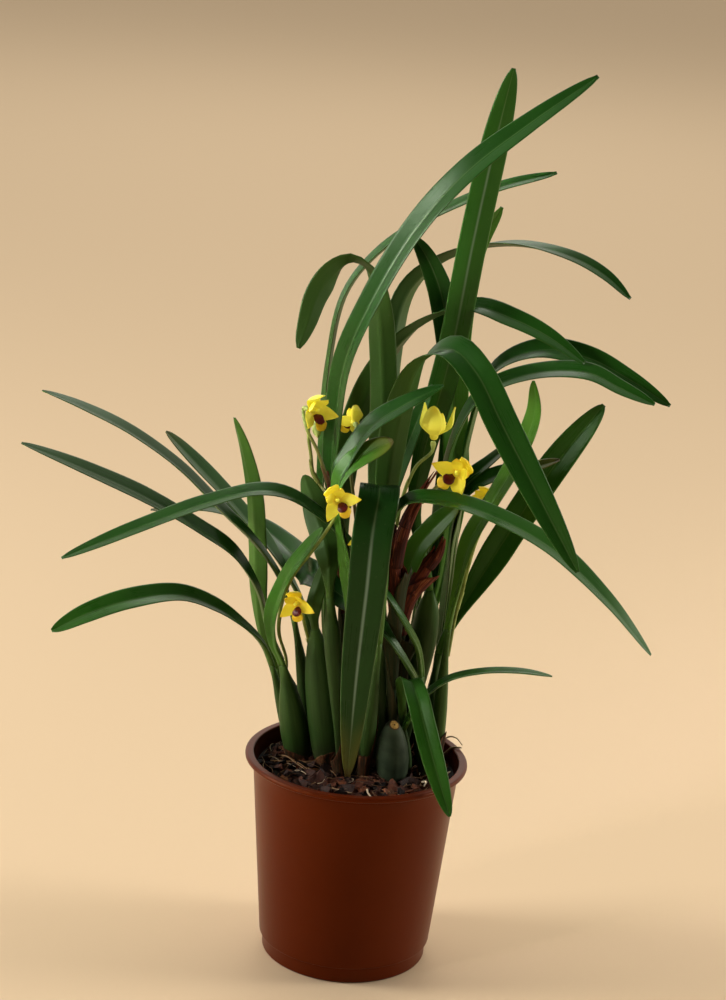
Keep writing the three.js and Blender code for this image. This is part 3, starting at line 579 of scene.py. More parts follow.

# %% [markdown]
# ## Petals, lips and stalks
# The petals are waxy. They are lemon yellow in the light and turn golden towards their tips and
# their throats, with a few faint lengthwise veins. The lip is a tongue with a yellow rim round a
# deep maroon middle. The stalks are pale green, and reddish where they leave their sheaths.

# %% Flower finishes
# The petals also glow faintly in their own yellow: painted light that stands in for light passing through
# them.
petal = Finish("petal_finish", specular_ior_level=0.35, emission_strength=0.1)
across, along = petal.sheet()
gold, upper, dry = petal.marks("tone", "upper", "dry")
veins = petal.fibres(3, across * 16, along * 1.5, gold)
warmth = along.step(0.75, 1) * 0.3 + gold * 0.8 + petal.grain(320, 2) * 0.2 - 0.12
yellow = petal.blend(
    petal.ramp(warmth, (0, (0.97, 0.93, 0.09)), (0.5, (0.95, 0.78, 0.035)), (1, (0.78, 0.42, 0.015))),
    (veins.step(0.5, 0.75) * 0.16, (0.66, 0.42, 0.01)),
    ((1 - along.step(0, 0.25)) * upper * 0.4, (0.5, 0.17, 0.008)),
    (dry, (0.3, 0.34, 0.05)))
PETAL_FINISH = petal.wear(base_color=yellow, emission_color=yellow, roughness=0.42 + veins * 0.12,
                          normal=petal.bump(veins, 0.3, 0.12))

lip = Finish("lip_finish", specular_ior_level=0.25)
across, along = lip.sheet()
blotch = (across * 2 - 1).size() ** 2 * 0.35 + along.step(0.3, 1) * 0.9 + lip.grain(700) * 0.12
maroon = lip.ramp(lip.grain(500), (0.3, (0.05, 0.003, 0.003)), (0.7, (0.14, 0.009, 0.006)))
rim = lip.ramp(lip.grain(420, 2), (0.3, (0.86, 0.55, 0.02)), (0.7, (0.92, 0.7, 0.03)))
LIP_FINISH = lip.wear(base_color=lip.blend(maroon, (blotch.step(0.5, 0.6), rim)),
                      roughness=0.3 + lip.grain(600, 2) * 0.15, normal=lip.bump(lip.grain(900), 0.2, 0.1))

stalk = Finish("stalk_finish", specular_ior_level=0.4)
red, = stalk.marks("tone")
green = stalk.ramp(stalk.grain(260), (0.3, (0.2, 0.3, 0.05)), (0.7, (0.36, 0.46, 0.11)))
STALK_FINISH = stalk.wear(
    base_color=stalk.blend(green, (stalk.sheet()[1].step(0.75, 1) * 0.4, (0.5, 0.55, 0.12)),
                           (red, (0.085, 0.018, 0.014))),
    roughness=0.45, normal=stalk.bump(stalk.grain(900, 2), 0.15, 0.1))

# %% [markdown]
# ## Sheaths, bark and the pot
# The sheaths round young shoots and old stems are dry and papery: red brown, with stiff parallel
# fibres that are paler where they have split. The mix is orchid bark in chips of many browns,
# damp and dark. The pot is moulded plastic, an even terracotta brown with a satin gloss, and it
# has the faint clouds and fine scratches of a pot that has been handled.

# %% Sheath, bark, root and pot finishes
sheath = Finish("sheath_finish", specular_ior_level=0.15)
across, along = sheath.sheet()
tone, green = sheath.marks("tone", "dry")
fibres = sheath.fibres(5, across * 30, along * 1.8, tone * 11, 0.65)
papery = sheath.ramp(
    fibres + along * 0.12 - 0.05, (0.3, (0.011, 0.003, 0.002)), (0.48, (0.046, 0.009, 0.005)),
    (0.6, (0.14, 0.028, 0.012)), (0.78, (0.38, 0.17, 0.065)))
SHEATH_FINISH = sheath.wear(
    # the mark "dry" lays a very dark green over lower sheaths, stems and cuffs: partly their own green,
    # partly painted shade among the leaf bases
    base_color=sheath.blend(papery, (green, (0.01, 0.026, 0.006))),
    roughness=0.62 + fibres * 0.2, normal=sheath.bump(fibres, 0.7, 0.25))

bark = Finish("bark_finish", specular_ior_level=0.22)
tone, = bark.marks("tone")
crust = bark.grain(420, 5, roughness=0.65)
brown = bark.ramp(
    tone * 0.8 + crust * 0.5 - 0.2, (0.1, (0.005, 0.002, 0.001)), (0.3, (0.022, 0.0065, 0.003)),
    (0.5, (0.072, 0.019, 0.008)), (0.74, (0.19, 0.058, 0.021)), (0.98, (0.32, 0.14, 0.055)))
BARK_FINISH = bark.wear(base_color=brown, roughness=0.5 + crust * 0.4, normal=bark.bump(crust, 0.8, 0.6))

root = Finish("root_finish", specular_ior_level=0.3)
tone, = root.marks("tone")
pale = root.ramp(
    tone + root.grain(300) * 0.2 - 0.1, (0, (0.06, 0.026, 0.012)), (0.5, (0.26, 0.14, 0.06)),
    (1, (0.72, 0.6, 0.42)))
ROOT_FINISH = root.wear(base_color=pale, roughness=0.7 + root.grain(500, 2) * 0.15)

pot = Finish("pot_finish", specular_ior_level=0.2, specular_tint=(1, 0.42, 0.16))
haze = pot.grain(18, 4)
scuffs = pot.grain(1, 4, pot.node("Mapping", vector=pot.place(), scale=(900, 900, 40)))
terracotta = pot.ramp(
    haze * 0.6 + pot.grain(2200, 2) * 0.3, (0.25, (0.074, 0.0085, 0.001)),
    (0.55, (0.09, 0.0115, 0.0013)), (0.85, (0.113, 0.017, 0.0025)))
POT_FINISH = pot.wear(
    base_color=terracotta, roughness=0.27 + haze * 0.12 + scuffs * 0.06,
    normal=pot.bump(haze * 0.5 + pot.grain(1600) * 0.25, 0.12, 0.2))

# %% [markdown]
# ## Where everything grows
# Each growth gives the spot of its foot on the mix, its neck, the width and thickness of its
# pseudobulb, its looks and its leaves. Its looks say how bright it is, from deep green to the
# fresh green of a young leaf, how far its tip has dried, and how it is waved and folded. A leaf
# gives its width, the way its upper face looks at even steps (a compass turn and a tilt, in
# degrees), its points, and the share that its tip takes.

# %% Table of growths
# "shine" is how strong the painted highlight along a leaf's middle is
LOOK = {"dry": 0, "wave": 0.5, "fold": 0.4, "shine": 0, "side": {}}


def look_of(**look):
    return SimpleNamespace(**LOOK | look)


def strap(width, facing, points, tip=TIP_SHARE):
    return SimpleNamespace(width=width, facing=facing, points=[*map(seen, points)], tip=tip)


def growth(base, neck, bulb, leaves, outline=PSEUDOBULB_OUTLINE, **look):
    points = [planted(base), seen(neck), *leaves[0].points]
    return SimpleNamespace(base=base, bulb=bulb, leaves=leaves, outline=outline, points=points,
                           line=Line(points), look=look_of(**look))


def shoot(base, radius, swell, points, leaves=()):
    return SimpleNamespace(radius=radius, swell=swell, leaves=leaves,
                           line=Line([planted(base), *map(seen, points)]))


GROWTHS = {
    "low_left": growth((-33, 26), (-49, 161, 24), (10, 9), tone=0.42, leaves=[strap(
        15, [(100, 5), (90, 5), (92, 14), (96, 28), (106, 46)],
        [(-55, 173, 20), (-67, 183, 11), (-81, 191, 1), (-100, 196, -11), (-126, 191, -24),
         (-148, 182, -32), (-167, 171, -37)])]),
    "hook_left": growth((-30, 10), (-43, 162, 8), (16, 15), tone=0.5, leaves=[strap(
        12, [(330, 0), (310, -10), (290, -25), (280, -35)],
        [(-48, 173, 6), (-50, 186, 3), (-47, 200, -3), (-42, 213, -9), (-34, 226, -14), (-26, 239, -19)])]),
    "upright_left": growth((-27, 38), (-46, 159, 36), (8, 7), tone=0.55, leaves=[strap(
        13, [(150, 0), (145, 0), (130, 0)],
        [(-54, 175, 34), (-59, 200, 33), (-61, 226, 33), (-64, 254, 33), (-70, 278, 32), (-76, 295, 30)])]),
    "far_left": growth((-19, 30), (-44, 164, 33), (9, 8), tone=0.3, leaves=[strap(
        16, [(90, 0), (90, 10), (90, 15), (90, 8)],
        [(-52, 181, 29), (-59, 202, 23), (-73, 221, 12), (-93, 234, 0), (-120, 248, -10),
         (-150, 260, -18), (-186, 273, -24)])]),
    "high_left": growth((-23, 22), (-39, 189, 20), (9, 9), tone=0.28, leaves=[strap(
        16, [(90, 0), (90, 3), (90, 4)],
        [(-47, 209, 20), (-60, 226, 21), (-80, 244, 24), (-104, 266, 27), (-130, 283, 29),
         (-154, 294, 31), (-176, 302, 32)])]),
    "back_left": growth((-13, 47), (-33, 192, 43), (9, 9), tone=0.3, dry=0.3, leaves=[strap(
        17, [(90, 0), (90, 15), (90, 24)],
        [(-41, 208, 43), (-56, 228, 46), (-74, 248, 50), (-92, 266, 51), (-111, 285, 52)])]),
    "tall_bulb": growth((-14, 5), (-27, 183, 5), (18, 16), tone=0.25,
        outline=((0, 0.7), (0.16, 0.93), (0.36, 1), (0.6, 0.9), (0.82, 0.6)), leaves=[strap(
        9, [(170, 0), (160, 0), (150, 0)],
        [(-29, 192, -1), (-28, 201, 0), (-26, 210, 2), (-24, 220, 3)])]),
    "broad_left": growth((-7, -9), (-20, 201, -9), (9, 9), tone=0.2,
        outline=((0, 0.4), (0.25, 0.5), (0.5, 0.85), (0.7, 1), (0.88, 0.6)), leaves=[strap(
        14, [(185, 0), (178, 0), (170, 0), (160, 0)],
        [(-21, 211, -9), (-22, 221, -7), (-25, 233, -1), (-30, 246, 8), (-33, 255, 12), (-38, 267, 15)])]),
    "low_back": growth((38, -5), (30, 153, 0), (7, 7), tone=0.08, dry=0.3, wave=1.1, leaves=[strap(
        16, [(70, 0), (90, 40), (90, 40), (90, 25), (90, 15), (90, 8)],
        [(22, 168, -8), (13, 180, -11), (5, 190, -7), (-5, 197, -1), (-15, 203, 9), (-29, 212, 15),
         (-38, 221, 53), (-58, 236, 79), (-83, 245, 81), (-117, 242, 82)])]),
    "cross_left": growth((37, 10), (31, 161, 7), (9, 9), tone=0.25, leaves=[strap(
        14, [(60, 0), (90, 6), (90, 10), (92, 20), (95, 28)],
        [(28, 176, 1), (21, 188, -9), (14, 198, -14), (4, 211, -12), (-7, 225, -8), (-27, 244, -6),
         (-46, 255, -13), (-62, 256, -19), (-89, 247, -25), (-124, 231, -33), (-163, 212, -41)])]),
    "front_fold": growth((8, 5), (10, 179, 4), (11, 11), tone=0.06, dry=0.5, wave=0.25, fold=0.12,
        shine=1, leaves=[strap(
        21, [(180, 0), (180, 0), (180, 0)],
        [(7, 202, 2), (4, 236, -2), (3, 256, -9), (2, 264, -18), (2, 259, -27), (0, 238, -33),
         (-1, 207, -36), (-3, 160, -38), (-4, 100, -41)], tip=0.62)]),
    "tallest": growth((22, 23), (32, 209, 20), (15, 13), tone=0.38, fold=-0.25, shine=0.5,
        outline=((0, 0.55), (0.2, 0.66), (0.45, 0.85), (0.7, 1), (0.88, 0.75)), leaves=[strap(
        15, [(0, 0), (0, 0), (5, 0)],
        [(26, 231, 20), (21, 252, 20), (23, 280, 20), (33, 335, 20), (40, 395, 18), (47, 446, 16),
         (53, 483, 13)], tip=0.2)]),
    "long_right": growth((-1, 14), (-6, 178, 15), (11, 10), tone=0.2, leaves=[strap(
        15, [(325, 0), (315, -10), (308, -32), (295, -45), (280, -55)],
        [(-8, 210, 17), (-16, 240, 11), (-23, 268, 3), (-23, 300, -4), (-20, 330, -10), (-8, 363, -17),
         (11, 400, -22), (34, 430, -24), (64, 457, -21), (95, 482, -16)])]),
    "thin_high": growth((-6, 37), (-20, 177, 34), (10, 9), tone=0.3, leaves=[strap(
        14, [(300, 0), (293, 0), (278, -6), (270, -8), (262, -38)],
        [(-23, 205, 34), (-27, 245, 33), (-28, 285, 32), (-28, 325, 33), (-22, 364, 36), (-8, 385, 40),
         (20, 407, 45), (50, 423, 49), (79, 433, 52)])]),
    "curl_back": growth((23, 42), (33, 190, 45), (12, 11), tone=0.6, side={"tone": 0.2}, leaves=[strap(
        15, [(20, 0), (20, 0), (20, 0)],
        [(39, 225, 47), (41, 262, 48), (37, 310, 48), (36, 355, 46), (41, 390, 44), (53, 414, 42)]), strap(
        14, [(10, 0), (5, 0), (0, 0), (0, 0), (0, -5)],
        [(33, 218, 48), (37, 265, 52), (37, 310, 52), (27, 364, 51), (21, 379, 51), (15, 389, 51),
         (9, 396, 52)], tip=0.2)]),
    "arch_far": growth((10, 44), (8, 179, 42), (11, 10), tone=0.2, leaves=[strap(
        15, [(225, 0), (205, 5), (195, 20), (205, 30), (245, 15), (255, -8), (242, -42)],
        [(8, 218, 44), (5, 275, 48), (3, 332, 57), (10, 369, 64), (32, 388, 68), (60, 395, 65),
         (90, 391, 58), (108, 383, 54), (122, 372, 51)])]),
    "arch_low": growth((-2, 47), (-10, 172, 42), (10, 10), tone=0.3, leaves=[strap(
        15, [(225, 0), (205, 0), (195, 12), (200, 20), (240, 5), (232, -36), (245, -45)],
        [(-14, 212, 43), (-17, 252, 44), (-13, 297, 43), (0, 331, 38), (20, 353, 32), (42, 362, 27),
         (64, 357, 21), (83, 349, 17), (102, 337, 14)])]),
    "folded_high": growth((1, 27), (5, 174, 25), (12, 11), tone=0.22, side={"tone": 0.2}, leaves=[strap(
        14.5, [(185, 0), (183, 0), (180, 0), (180, 0), (178, 0), (170, 0), (120, -5), (25, -25),
               (5, -28)],
        [(4, 215, 26), (2, 267, 26), (0, 317, 25), (-5, 355, 22), (-11, 376, 18), (-20, 381, 12),
         (-29, 375, 6), (-37, 362, 2), (-41, 348, -1), (-45, 334, -4)], tip=0.18), strap(
        13, [(320, 0), (315, 0), (320, 0)],
        [(4, 205, 21), (5, 245, 20), (11, 273, 19), (18, 297, 17), (25, 320, 14)])]),
    "young_centre": growth((-3, -3), (-8, 202, -12), (9, 9), tone=0.18,
        side={"tone": 0.6, "dry": 0.6, "wave": 1.6}, leaves=[strap(
        15, [(330, 0), (300, -25), (275, -35), (270, -35)],
        [(-12, 225, -18), (-17, 248, -20), (-19, 267, -21), (-15, 278, -20), (-4, 296, -20),
         (13, 309, -20), (31, 320, -20)], tip=0.4), strap(
        13, [(330, 0), (300, -30), (280, -50)],
        [(-13, 225, -22), (-18, 247, -25), (-19, 264, -26), (-15, 273, -26), (-7, 280, -26),
         (7, 289, -27)], tip=0.12)]),
    "back_right": growth((32, 36), (42, 177, 37), (9, 9), tone=0.3, side={"tone": 0.3, "dry": 0.8},
        leaves=[strap(
        14, [(290, 0), (280, -5), (270, -12), (265, -24), (243, -52), (235, -58)],
        [(43, 210, 39), (45, 250, 37), (47, 295, 35), (57, 330, 35), (78, 342, 34), (103, 340, 31),
         (126, 330, 27), (148, 318, 23)]), strap(
        13, [(300, 0), (275, -20), (270, -30)],
        [(42, 215, 34), (44, 245, 30), (49, 265, 30), (62, 274, 30), (79, 279, 26), (94, 285, 22)]), strap(
        13, [(300, 0), (275, -20), (270, -30)],
        [(42, 220, 36), (43, 250, 37), (47, 269, 38), (58, 281, 40), (72, 296, 42)])]),
    "mid_right": growth((13, 33), (25, 181, 32), (11, 10), tone=0.32, leaves=[strap(
        15, [(300, 0), (280, -12), (270, -22), (268, -25), (252, -45)],
        [(28, 214, 30), (34, 252, 28), (40, 293, 25), (52, 317, 22), (75, 329, 18), (104, 332, 14),
         (122, 325, 11), (140, 318, 8)])]),
    "wide_arch": growth((12, 19), (15, 186, 13), (13, 12), tone=0.25, leaves=[strap(
        17, [(180, 0), (183, 0), (196, 5), (215, -28), (200, -35), (190, -30), (185, -30)],
        [(9, 220, 12), (6, 265, 7), (11, 309, -1), (20, 333, -11), (34, 339, -19), (47, 328, -27),
         (63, 301, -34), (86, 263, -42), (109, 225, -48)])]),
    "right_strap": growth((4, -9), (8, 178, -17), (8, 8), tone=0.4, leaves=[strap(
        15, [(290, 0), (270, -4), (270, -20), (270, -30), (270, -25)],
        [(9, 208, -22), (10, 242, -20), (17, 256, -21), (36, 258, -24), (64, 251, -30), (95, 236, -38),
         (126, 210, -46), (152, 182, -50)])]),
    "steep_right": growth((39, 29), (40, 175, 26), (9, 9), tone=0.42, leaves=[strap(
        17, [(350, 0), (350, 0), (350, 0)],
        [(46, 192, 31), (56, 213, 37), (74, 249, 43), (93, 284, 49), (114, 316, 52)])]),
    "bright_right": growth((43, 17), (44, 189, 14), (8, 8), tone=0.75, leaves=[strap(
        13, [(310, 0), (305, 0), (320, 0)],
        [(47, 212, 12), (51, 236, 11), (60, 256, 9), (72, 283, 7), (79, 309, 6), (77, 326, 5)])]),
    "low_right": growth((28, 3), (23, 138, 1), (7, 6), tone=0.42, leaves=[strap(
        12, [(180, 0), (180, 0), (180, 0)],
        [(22, 149, -4), (22, 156, -9), (26, 157, -16), (30, 149, -24), (36, 130, -34), (44, 106, -44),
         (53, 81, -53)], tip=0.4), strap(
        9, [(290, 0), (270, 0), (270, 0)],
        [(33, 147, -9), (46, 159, -12), (64, 165, -16), (83, 167, -19), (101, 166, -23)])]),
}

# %% Table of young shoots
SHOOTS = {
    "left": shoot((-10, 21), 1.9, 0, [
        (-13, 144, 21), (-13, 178, 22), (-14, 206, 19), (-16, 228, 9), (-19, 244, 2), (-23, 257, -2),
        (-26, 270, -4)]),
    "centre": shoot((18, 9), 2.5, 0.7, [
        (17, 150, 3), (15, 185, -2), (13, 215, -6), (15, 238, -8), (20, 253, -8), (31, 274, -10)]),
    "leafy": shoot((24, 11), 2.9, 0.7, [
        (20, 150, 8), (19, 180, 5), (21, 203, 3), (28, 219, 2), (34, 229, 1), (37, 239, 0)], [strap(
            13, [(340, 0), (325, -10), (318, -15)],
            [(20, 214, 4), (24, 231, 4), (32, 243, 4), (44, 257, 3)])]),
}

# %% Grow the clump
for number, (name, made) in enumerate(GROWTHS.items()):
    made.look.seed = 3.7 * number + 1.3
    grow("growth_" + name, made)
print("growths:", len(GROWTHS), "faces:", sum(len(p.data.polygons) for p in PIECES))

# %% [markdown]
# ## The old pseudobulb
# This is the plainest sleeve: a circle at every height, with a radius that is read between keys.
# Where the leaf broke off, the top is cut by a plane: what lies beyond it is moved back onto it.
# Each vertex stores how near it is to the scar's centre, as a mark for the finish.

# %% Old pseudobulb
OLD_BULB_BASE = (20, -8)
OLD_BULB_TOP = Vector((18, -9, 138)) * MM
OLD_BULB_WIDTH = 18
OLD_BULB_KEYS = ((0, 0.7), (0.2, 0.93), (0.42, 1.0), (0.64, 0.9), (0.82, 0.68), (0.94, 0.42), (1, 0.12))
SCAR_CENTRE = Vector((19.2, -11.3, 136.6)) * MM
SCAR_FACING = Vector((0.22, -0.56, 0.80)).normalized()
SCAR_RADIUS = 3.1
SCAR_DEPTH = 0.35


def old_bulb_surface(around, along):
    angle = TURN * around
    share = 1 - (1 - along) ** 1.5
    radius = OLD_BULB_WIDTH / 2 * rounded(OLD_BULB_KEYS, share, 0.04 * min(1, 8 * (1 - share)))
    radius *= 1 + 0.012 * math.sin(9 * angle + 1) * (1 - share)
    place = planted(OLD_BULB_BASE).lerp(OLD_BULB_TOP, share) + Vector((*polar(radius, angle), 0)) * MM
    place -= SCAR_FACING * max(0, (place - SCAR_CENTRE).dot(SCAR_FACING))
    distance = (place - SCAR_CENTRE).length / MM / SCAR_RADIUS
    place -= SCAR_FACING * SCAR_DEPTH * MM * smooth(1 - distance, 0.1, 0.35)
    return place, (around, share), {"organ": max(0, 1.5 - distance) / 1.5, "tone": 0.2}


old_tissue = Tissue()
old_tissue.sleeve(72, 64, old_bulb_surface)
old_tissue.finished("old_pseudobulb_fine", OLD_BULB_FINISH, "old_pseudobulb", "old_pseudobulb")

# %% [markdown]
# ## Papery sheaths
# A sheath is an open cone round a stem. Its mouth is oblique and runs to a point on one side, its
# rim is torn a little, and it stands away from the stem towards the mouth. It is one sleeve left
# open, and `solidify` gives it the thickness of paper. A young shoot wears several, one above the
# other, and the lower ones are still green: a very dark green that is partly painted shade.

# %% Sheaths
PAPER = 0.22
LEAN = 0.6
SHEATHS_PER_SHOOT = 5
GREEN_SHEATHS = 2


def add_sheath(tissue, line, low, high, foot_radius, mouth_radius, seed, point_at, flat=0.0, green=0.0):
    """A papery cone on a line, between two of its parameters. Its radii are in millimetres."""
    def surface(around, along):
        angle = TURN * around
        toward = (1 + math.cos(angle - point_at)) / 2
        torn = 0.07 * noise.noise(Vector((seed, *polar(3, angle)))) * along
        reach = along * (1 - LEAN + LEAN * toward ** 1.6 + torn)
        radius = mix(foot_radius, mouth_radius, along ** 1.4)
        radius *= 1 + 0.05 * math.sin(5 * angle + seed) * along + 0.02 * math.sin(23 * angle + seed)
        x, y = polar(radius, angle)
        place = line.beside(mix(low, high, reach), SIDEWAYS, x * (1 + flat * along),
                            y * (1 - 0.35 * flat * along))
        return place, (around, along), {"tone": seed % 1, "organ": 1, "dry": green}

    tissue.sleeve(36, 18, surface, wall=PAPER)


# %% Young shoots
STEM_SHARE = 0.72
SHEATHED_SHARE = 0.9
SHEATH_REACH = 0.36
SHEATH_FOOT, SHEATH_MOUTH = 0.86, 1.25


def shoot_radius(made, share):
    broad = smooth(share, 0.3, 0.5) * (1 - smooth(share, 0.65, 0.85))
    return made.radius * mix(1, 0.3, smooth(share, 0.7, 1)) * (1 + made.swell * broad)


for number, (name, made) in enumerate(SHOOTS.items()):
    tissue = Tissue()
    # the lower stem is painted a very dark green: partly its own green, partly painted shade
    tissue.stem(made.line, lambda share: shoot_radius(made, share) * STEM_SHARE,
                lambda share: {"tone": 0.3 + 0.1 * number, "dry": 1 - smooth(share, 0.3, 0.5)})
    for layer in range(SHEATHS_PER_SHOOT):
        low = layer / SHEATHS_PER_SHOOT * SHEATHED_SHARE
        high = min(0.999, low + SHEATH_REACH)
        add_sheath(tissue, made.line, low, high, shoot_radius(made, low) * SHEATH_FOOT,
                   shoot_radius(made, high) * SHEATH_MOUTH, 1.37 * layer + 0.61 * number,
                   math.pi * (layer + number) + 0.4, flat=0.6 if made.swell else 0.0,
                   green=0.85 if layer < GREEN_SHEATHS else 0.0)
    tissue.finished(f"shoot_{name}_fine", SHEATH_FINISH, "sheath", "shoot_" + name)
    for leaf in made.leaves:
        young = Tissue()
        add_leaf(young, Line([made.line.point(0.5), *leaf.points]), 0, leaf,
                 look_of(seed=77.7, tone=0.6, dry=0.5))
        young.finished(f"shoot_{name}_leaf_fine", LEAF_FINISH, "leaf")

# %% [markdown]
# Old growths keep the remains of their sheaths round their feet: short torn cuffs of dry skin.
# The table gives how high each one reaches and which way it points.

# %% Cuffs round the pseudobulbs
CUFFS = {
    "low_left": (0.30, 0.4), "hook_left": (0.26, 2.6), "tall_bulb": (0.20, 1.2), "broad_left": (0.34, 0.2),
    "front_fold": (0.42, 4.9), "young_centre": (0.40, 5.5), "right_strap": (0.62, 5.2),
    "wide_arch": (0.36, 0.9), "tallest": (0.3, 5.0), "cross_left": (0.42, 5.8), "low_back": (0.36, 5.1),
    "bright_right": (0.34, 0.3), "steep_right": (0.38, 1.4), "back_right": (0.4, 1.9),
    "curl_back": (0.3, 2.2), "arch_far": (0.36, 1.6), "arch_low": (0.4, 2.0), "back_left": (0.34, 2.8),
    "upright_left": (0.42, 3.3), "mid_right": (0.36, 0.8),
}
CUFF_SCALE = 0.8
cuffs = Tissue()
for number, (name, (height, point_at)) in enumerate(CUFFS.items()):
    made = GROWTHS[name]
    half = sum(made.bulb) / 4
    height *= CUFF_SCALE
    # the cuffs take a share of the very dark green, partly painted shade round the feet of the pseudobulbs
    add_sheath(cuffs, Line(made.points[:3]), 0.01, height / 2, half * 0.72 + 0.5,
               half * bulb_size(PSEUDOBULB_OUTLINE, height, 0.4) + 0.7, 2.31 * number + 0.4, point_at,
               green=0.45)
cuffs.finished("dry_cuffs", SHEATH_FINISH, "sheath")

# %% [markdown]
# ## A flower
# An orchid flower has three sepals and two petals of one colour, a lip below, and in the middle
# the column, a small curved club. They are modelled in the flower's own frame: x to its right, y
# up its middle sepal and z out of its face. Each tongue is again a sleeve, thin and slightly
# dished. The middle sepal is a broad hood that leans over the column, and a cup of 0 is a flat
# flower, 1 a closed one.

# %% Table of flowers
UP_LIMIT = 0.9


def flower(place, facing, roll, host, share, stalk, size=1, cup=0.0, gold=0.0, red=0.3):
    """A flower's matrix, how golden it is, its host, and how red its stalk is at the foot."""
    out = Vector(facing).normalized()
    wish = Vector((0, 1, 0)) if abs(out.z) > UP_LIMIT else Vector((0, 0, 1))
    up = (wish - out * wish.dot(out)).normalized()
    up.rotate(Matrix.Rotation(math.radians(roll), 3, out))
    turn = Matrix((up.cross(out), up, out)).transposed().to_4x4()
    return SimpleNamespace(matrix=Matrix.Translation(seen(place)) @ turn @ Matrix.Scale(size, 4), size=size,
                           host=host, share=share, stalk=[*map(seen, stalk)], cup=cup, gold=gold, red=red)


FLOWERS = {
    "left_high": flower(
        (-36, 302, -16), (0.62, -0.76, 0.12), 12, SHOOTS["left"], 0.86,
        [(-25, 263, -9), (-27, 269, -12), (-32, 281, -14), (-38, 292, -15)], 1.15, 0.6, 0.1, 1.0),
    "left_inner": flower(
        (-14, 297, 16), (-0.3, 0.9, 0.1), 30, GROWTHS["folded_high"], 0.7,
        [(-3, 185, 19), (-6, 225, 16), (-11, 255, 12), (-15, 283, 11)], 0.9, 0.3, 0.45, 1.6),
    "right_high": flower(
        (28, 293, -8), (0.05, 0.12, 0.99), 165, SHOOTS["centre"], 0.7,
        [(14, 257, -6), (20, 276, -7)], 1.3, 1.15, 0.0, 0.15),
    "right_low": flower(
        (42, 274, -12), (-0.25, -0.93, 0.2), -45, SHOOTS["centre"], 0.86,
        [(33, 267, -5), (37, 267, -3)], 1.22, 0.3, 0.6),
    "centre": flower(
        (-20, 255, -37), (0.15, -0.96, 0.15), 35, GROWTHS["hook_left"], 0.75,
        [(-41, 164, 13), (-46, 180, 10), (-45, 197, 4), (-40, 212, -4), (-31, 226, -10), (-24, 238, -16),
         (-20, 248, -29)], 1.08, 0.35, 0.3),
    "right_outer": flower(
        (57, 262, 20), (-0.3, -0.95, 0), -10, GROWTHS["bright_right"], 0.75,
        [(47, 196, 22), (50, 214, 21), (54, 236, 19), (59, 253, 22)], 0.95, 0.3, 0.55),
    "hidden": flower(
        (-8, 234, -28.5), (0, -1, 0), 0, GROWTHS["young_centre"], 0.75,
        [(-3, 181, -20), (-5, 205, -26)], 0.46, 0.2, 0.5),
    "low_left": flower(
        (-37, 197, -12), (-0.2, -0.95, 0), 15, GROWTHS["tall_bulb"], 0.55,
        [(-25, 161, 17), (-29, 174, 12), (-32, 183, 3), (-34, 191, -6)], 1, 0.35, 0.6),
}
BUD = flower((-33, 293, -4), (0.2, -0.25, -0.95), 0, SHOOTS["left"], 0.86, [
    (-28, 261, 3), (-33, 268, 4), (-35, 278, 3), (-37, 290, 1), (-36, 300, -1), (-34, 301, -3),
    (-33, 293, -4)], red=0.5)

# %% Tongues and flowers
SEPAL_LENGTH = 12.5
PETAL_LENGTH = 9.5
TEPAL_HALF_THICKNESS = 0.3
FLOWER_CENTRE_RADIUS = 1.9
STALK_RADIUS = 1.1
CLEARANCE = 0.35
HOOD_WIDTHS = ((0, 2.0), (0.3, 3.9), (0.6, 4.3), (0.84, 3.2), (0.96, 1.6), (1, 0.2))
SEPAL_WIDTHS = ((0, 2.0), (0.25, 3.5), (0.5, 3.1), (0.75, 1.9), (0.92, 0.8), (1, 0.1))
PETAL_WIDTHS = ((0, 1.3), (0.33, 2.5), (0.66, 2.6), (0.88, 1.6), (1, 0.1))
LIP_WIDTHS = ((0, 1.2), (0.28, 2.6), (0.5, 2.5), (0.74, 3.2), (0.92, 2.5), (1, 0.8))
COLUMN_WIDTHS = ((0, 1.3), (0.6, 0.9), (0.9, 1.15), (1, 0.5))
BUD_WIDTHS = ((0, 1.1), (0.25, 2.2), (0.5, 2.6), (0.75, 2.0), (1, 0.3))
HOOD_TURN, SEPAL_TURNS, PETAL_TURNS, LIP_TURN = 90, (210, 330), (48, 132), 270


def add_tongue(tissue, matrix, turn, outline, widths, half_thickness, marks, dish=0.0, curl=0.0,
               ruffle=0.0, seed=0.0, rings=22):
    """A petal, sepal or lip that leans out from the flower's middle at an angle."""
    angle = math.radians(turn)
    aside = Vector((-math.sin(angle), math.cos(angle), 0))
    line = Line([Vector((*polar(reach, angle), front)) * MM for reach, front in outline])

    def surface(around, along):
        share = 1 - (1 - along) ** 1.4
        x, z = polar(1, TURN * around)
        half_width = rounded(widths, share, 0.06 * min(1, 6 * (1 - share)))
        rise = half_thickness * z - dish * x * x * half_width + curl * max(0, share - 0.6) ** 2
        rise += ruffle * abs(x) * noise.noise(Vector((seed, share * 3.1, 2 * x)))
        place = matrix @ line.beside(share, aside, x * half_width, rise)
        return place, (x / 2 + 0.5, share), marks | {"upper": float(z < 0)}

    tissue.sleeve(20, rings, surface)


def add_ball(tissue, matrix, radii, marks):
    ball = bmesh.ops.create_icosphere(tissue.mesh, subdivisions=3, radius=1)["verts"]
    shape = matrix @ Matrix.Diagonal((*[r * MM for r in radii], 1))
    bmesh.ops.transform(tissue.mesh, matrix=shape, verts=ball)
    for vertex in ball:
        tissue.mark(vertex, marks)
        for face in vertex.link_faces:
            face.smooth = True


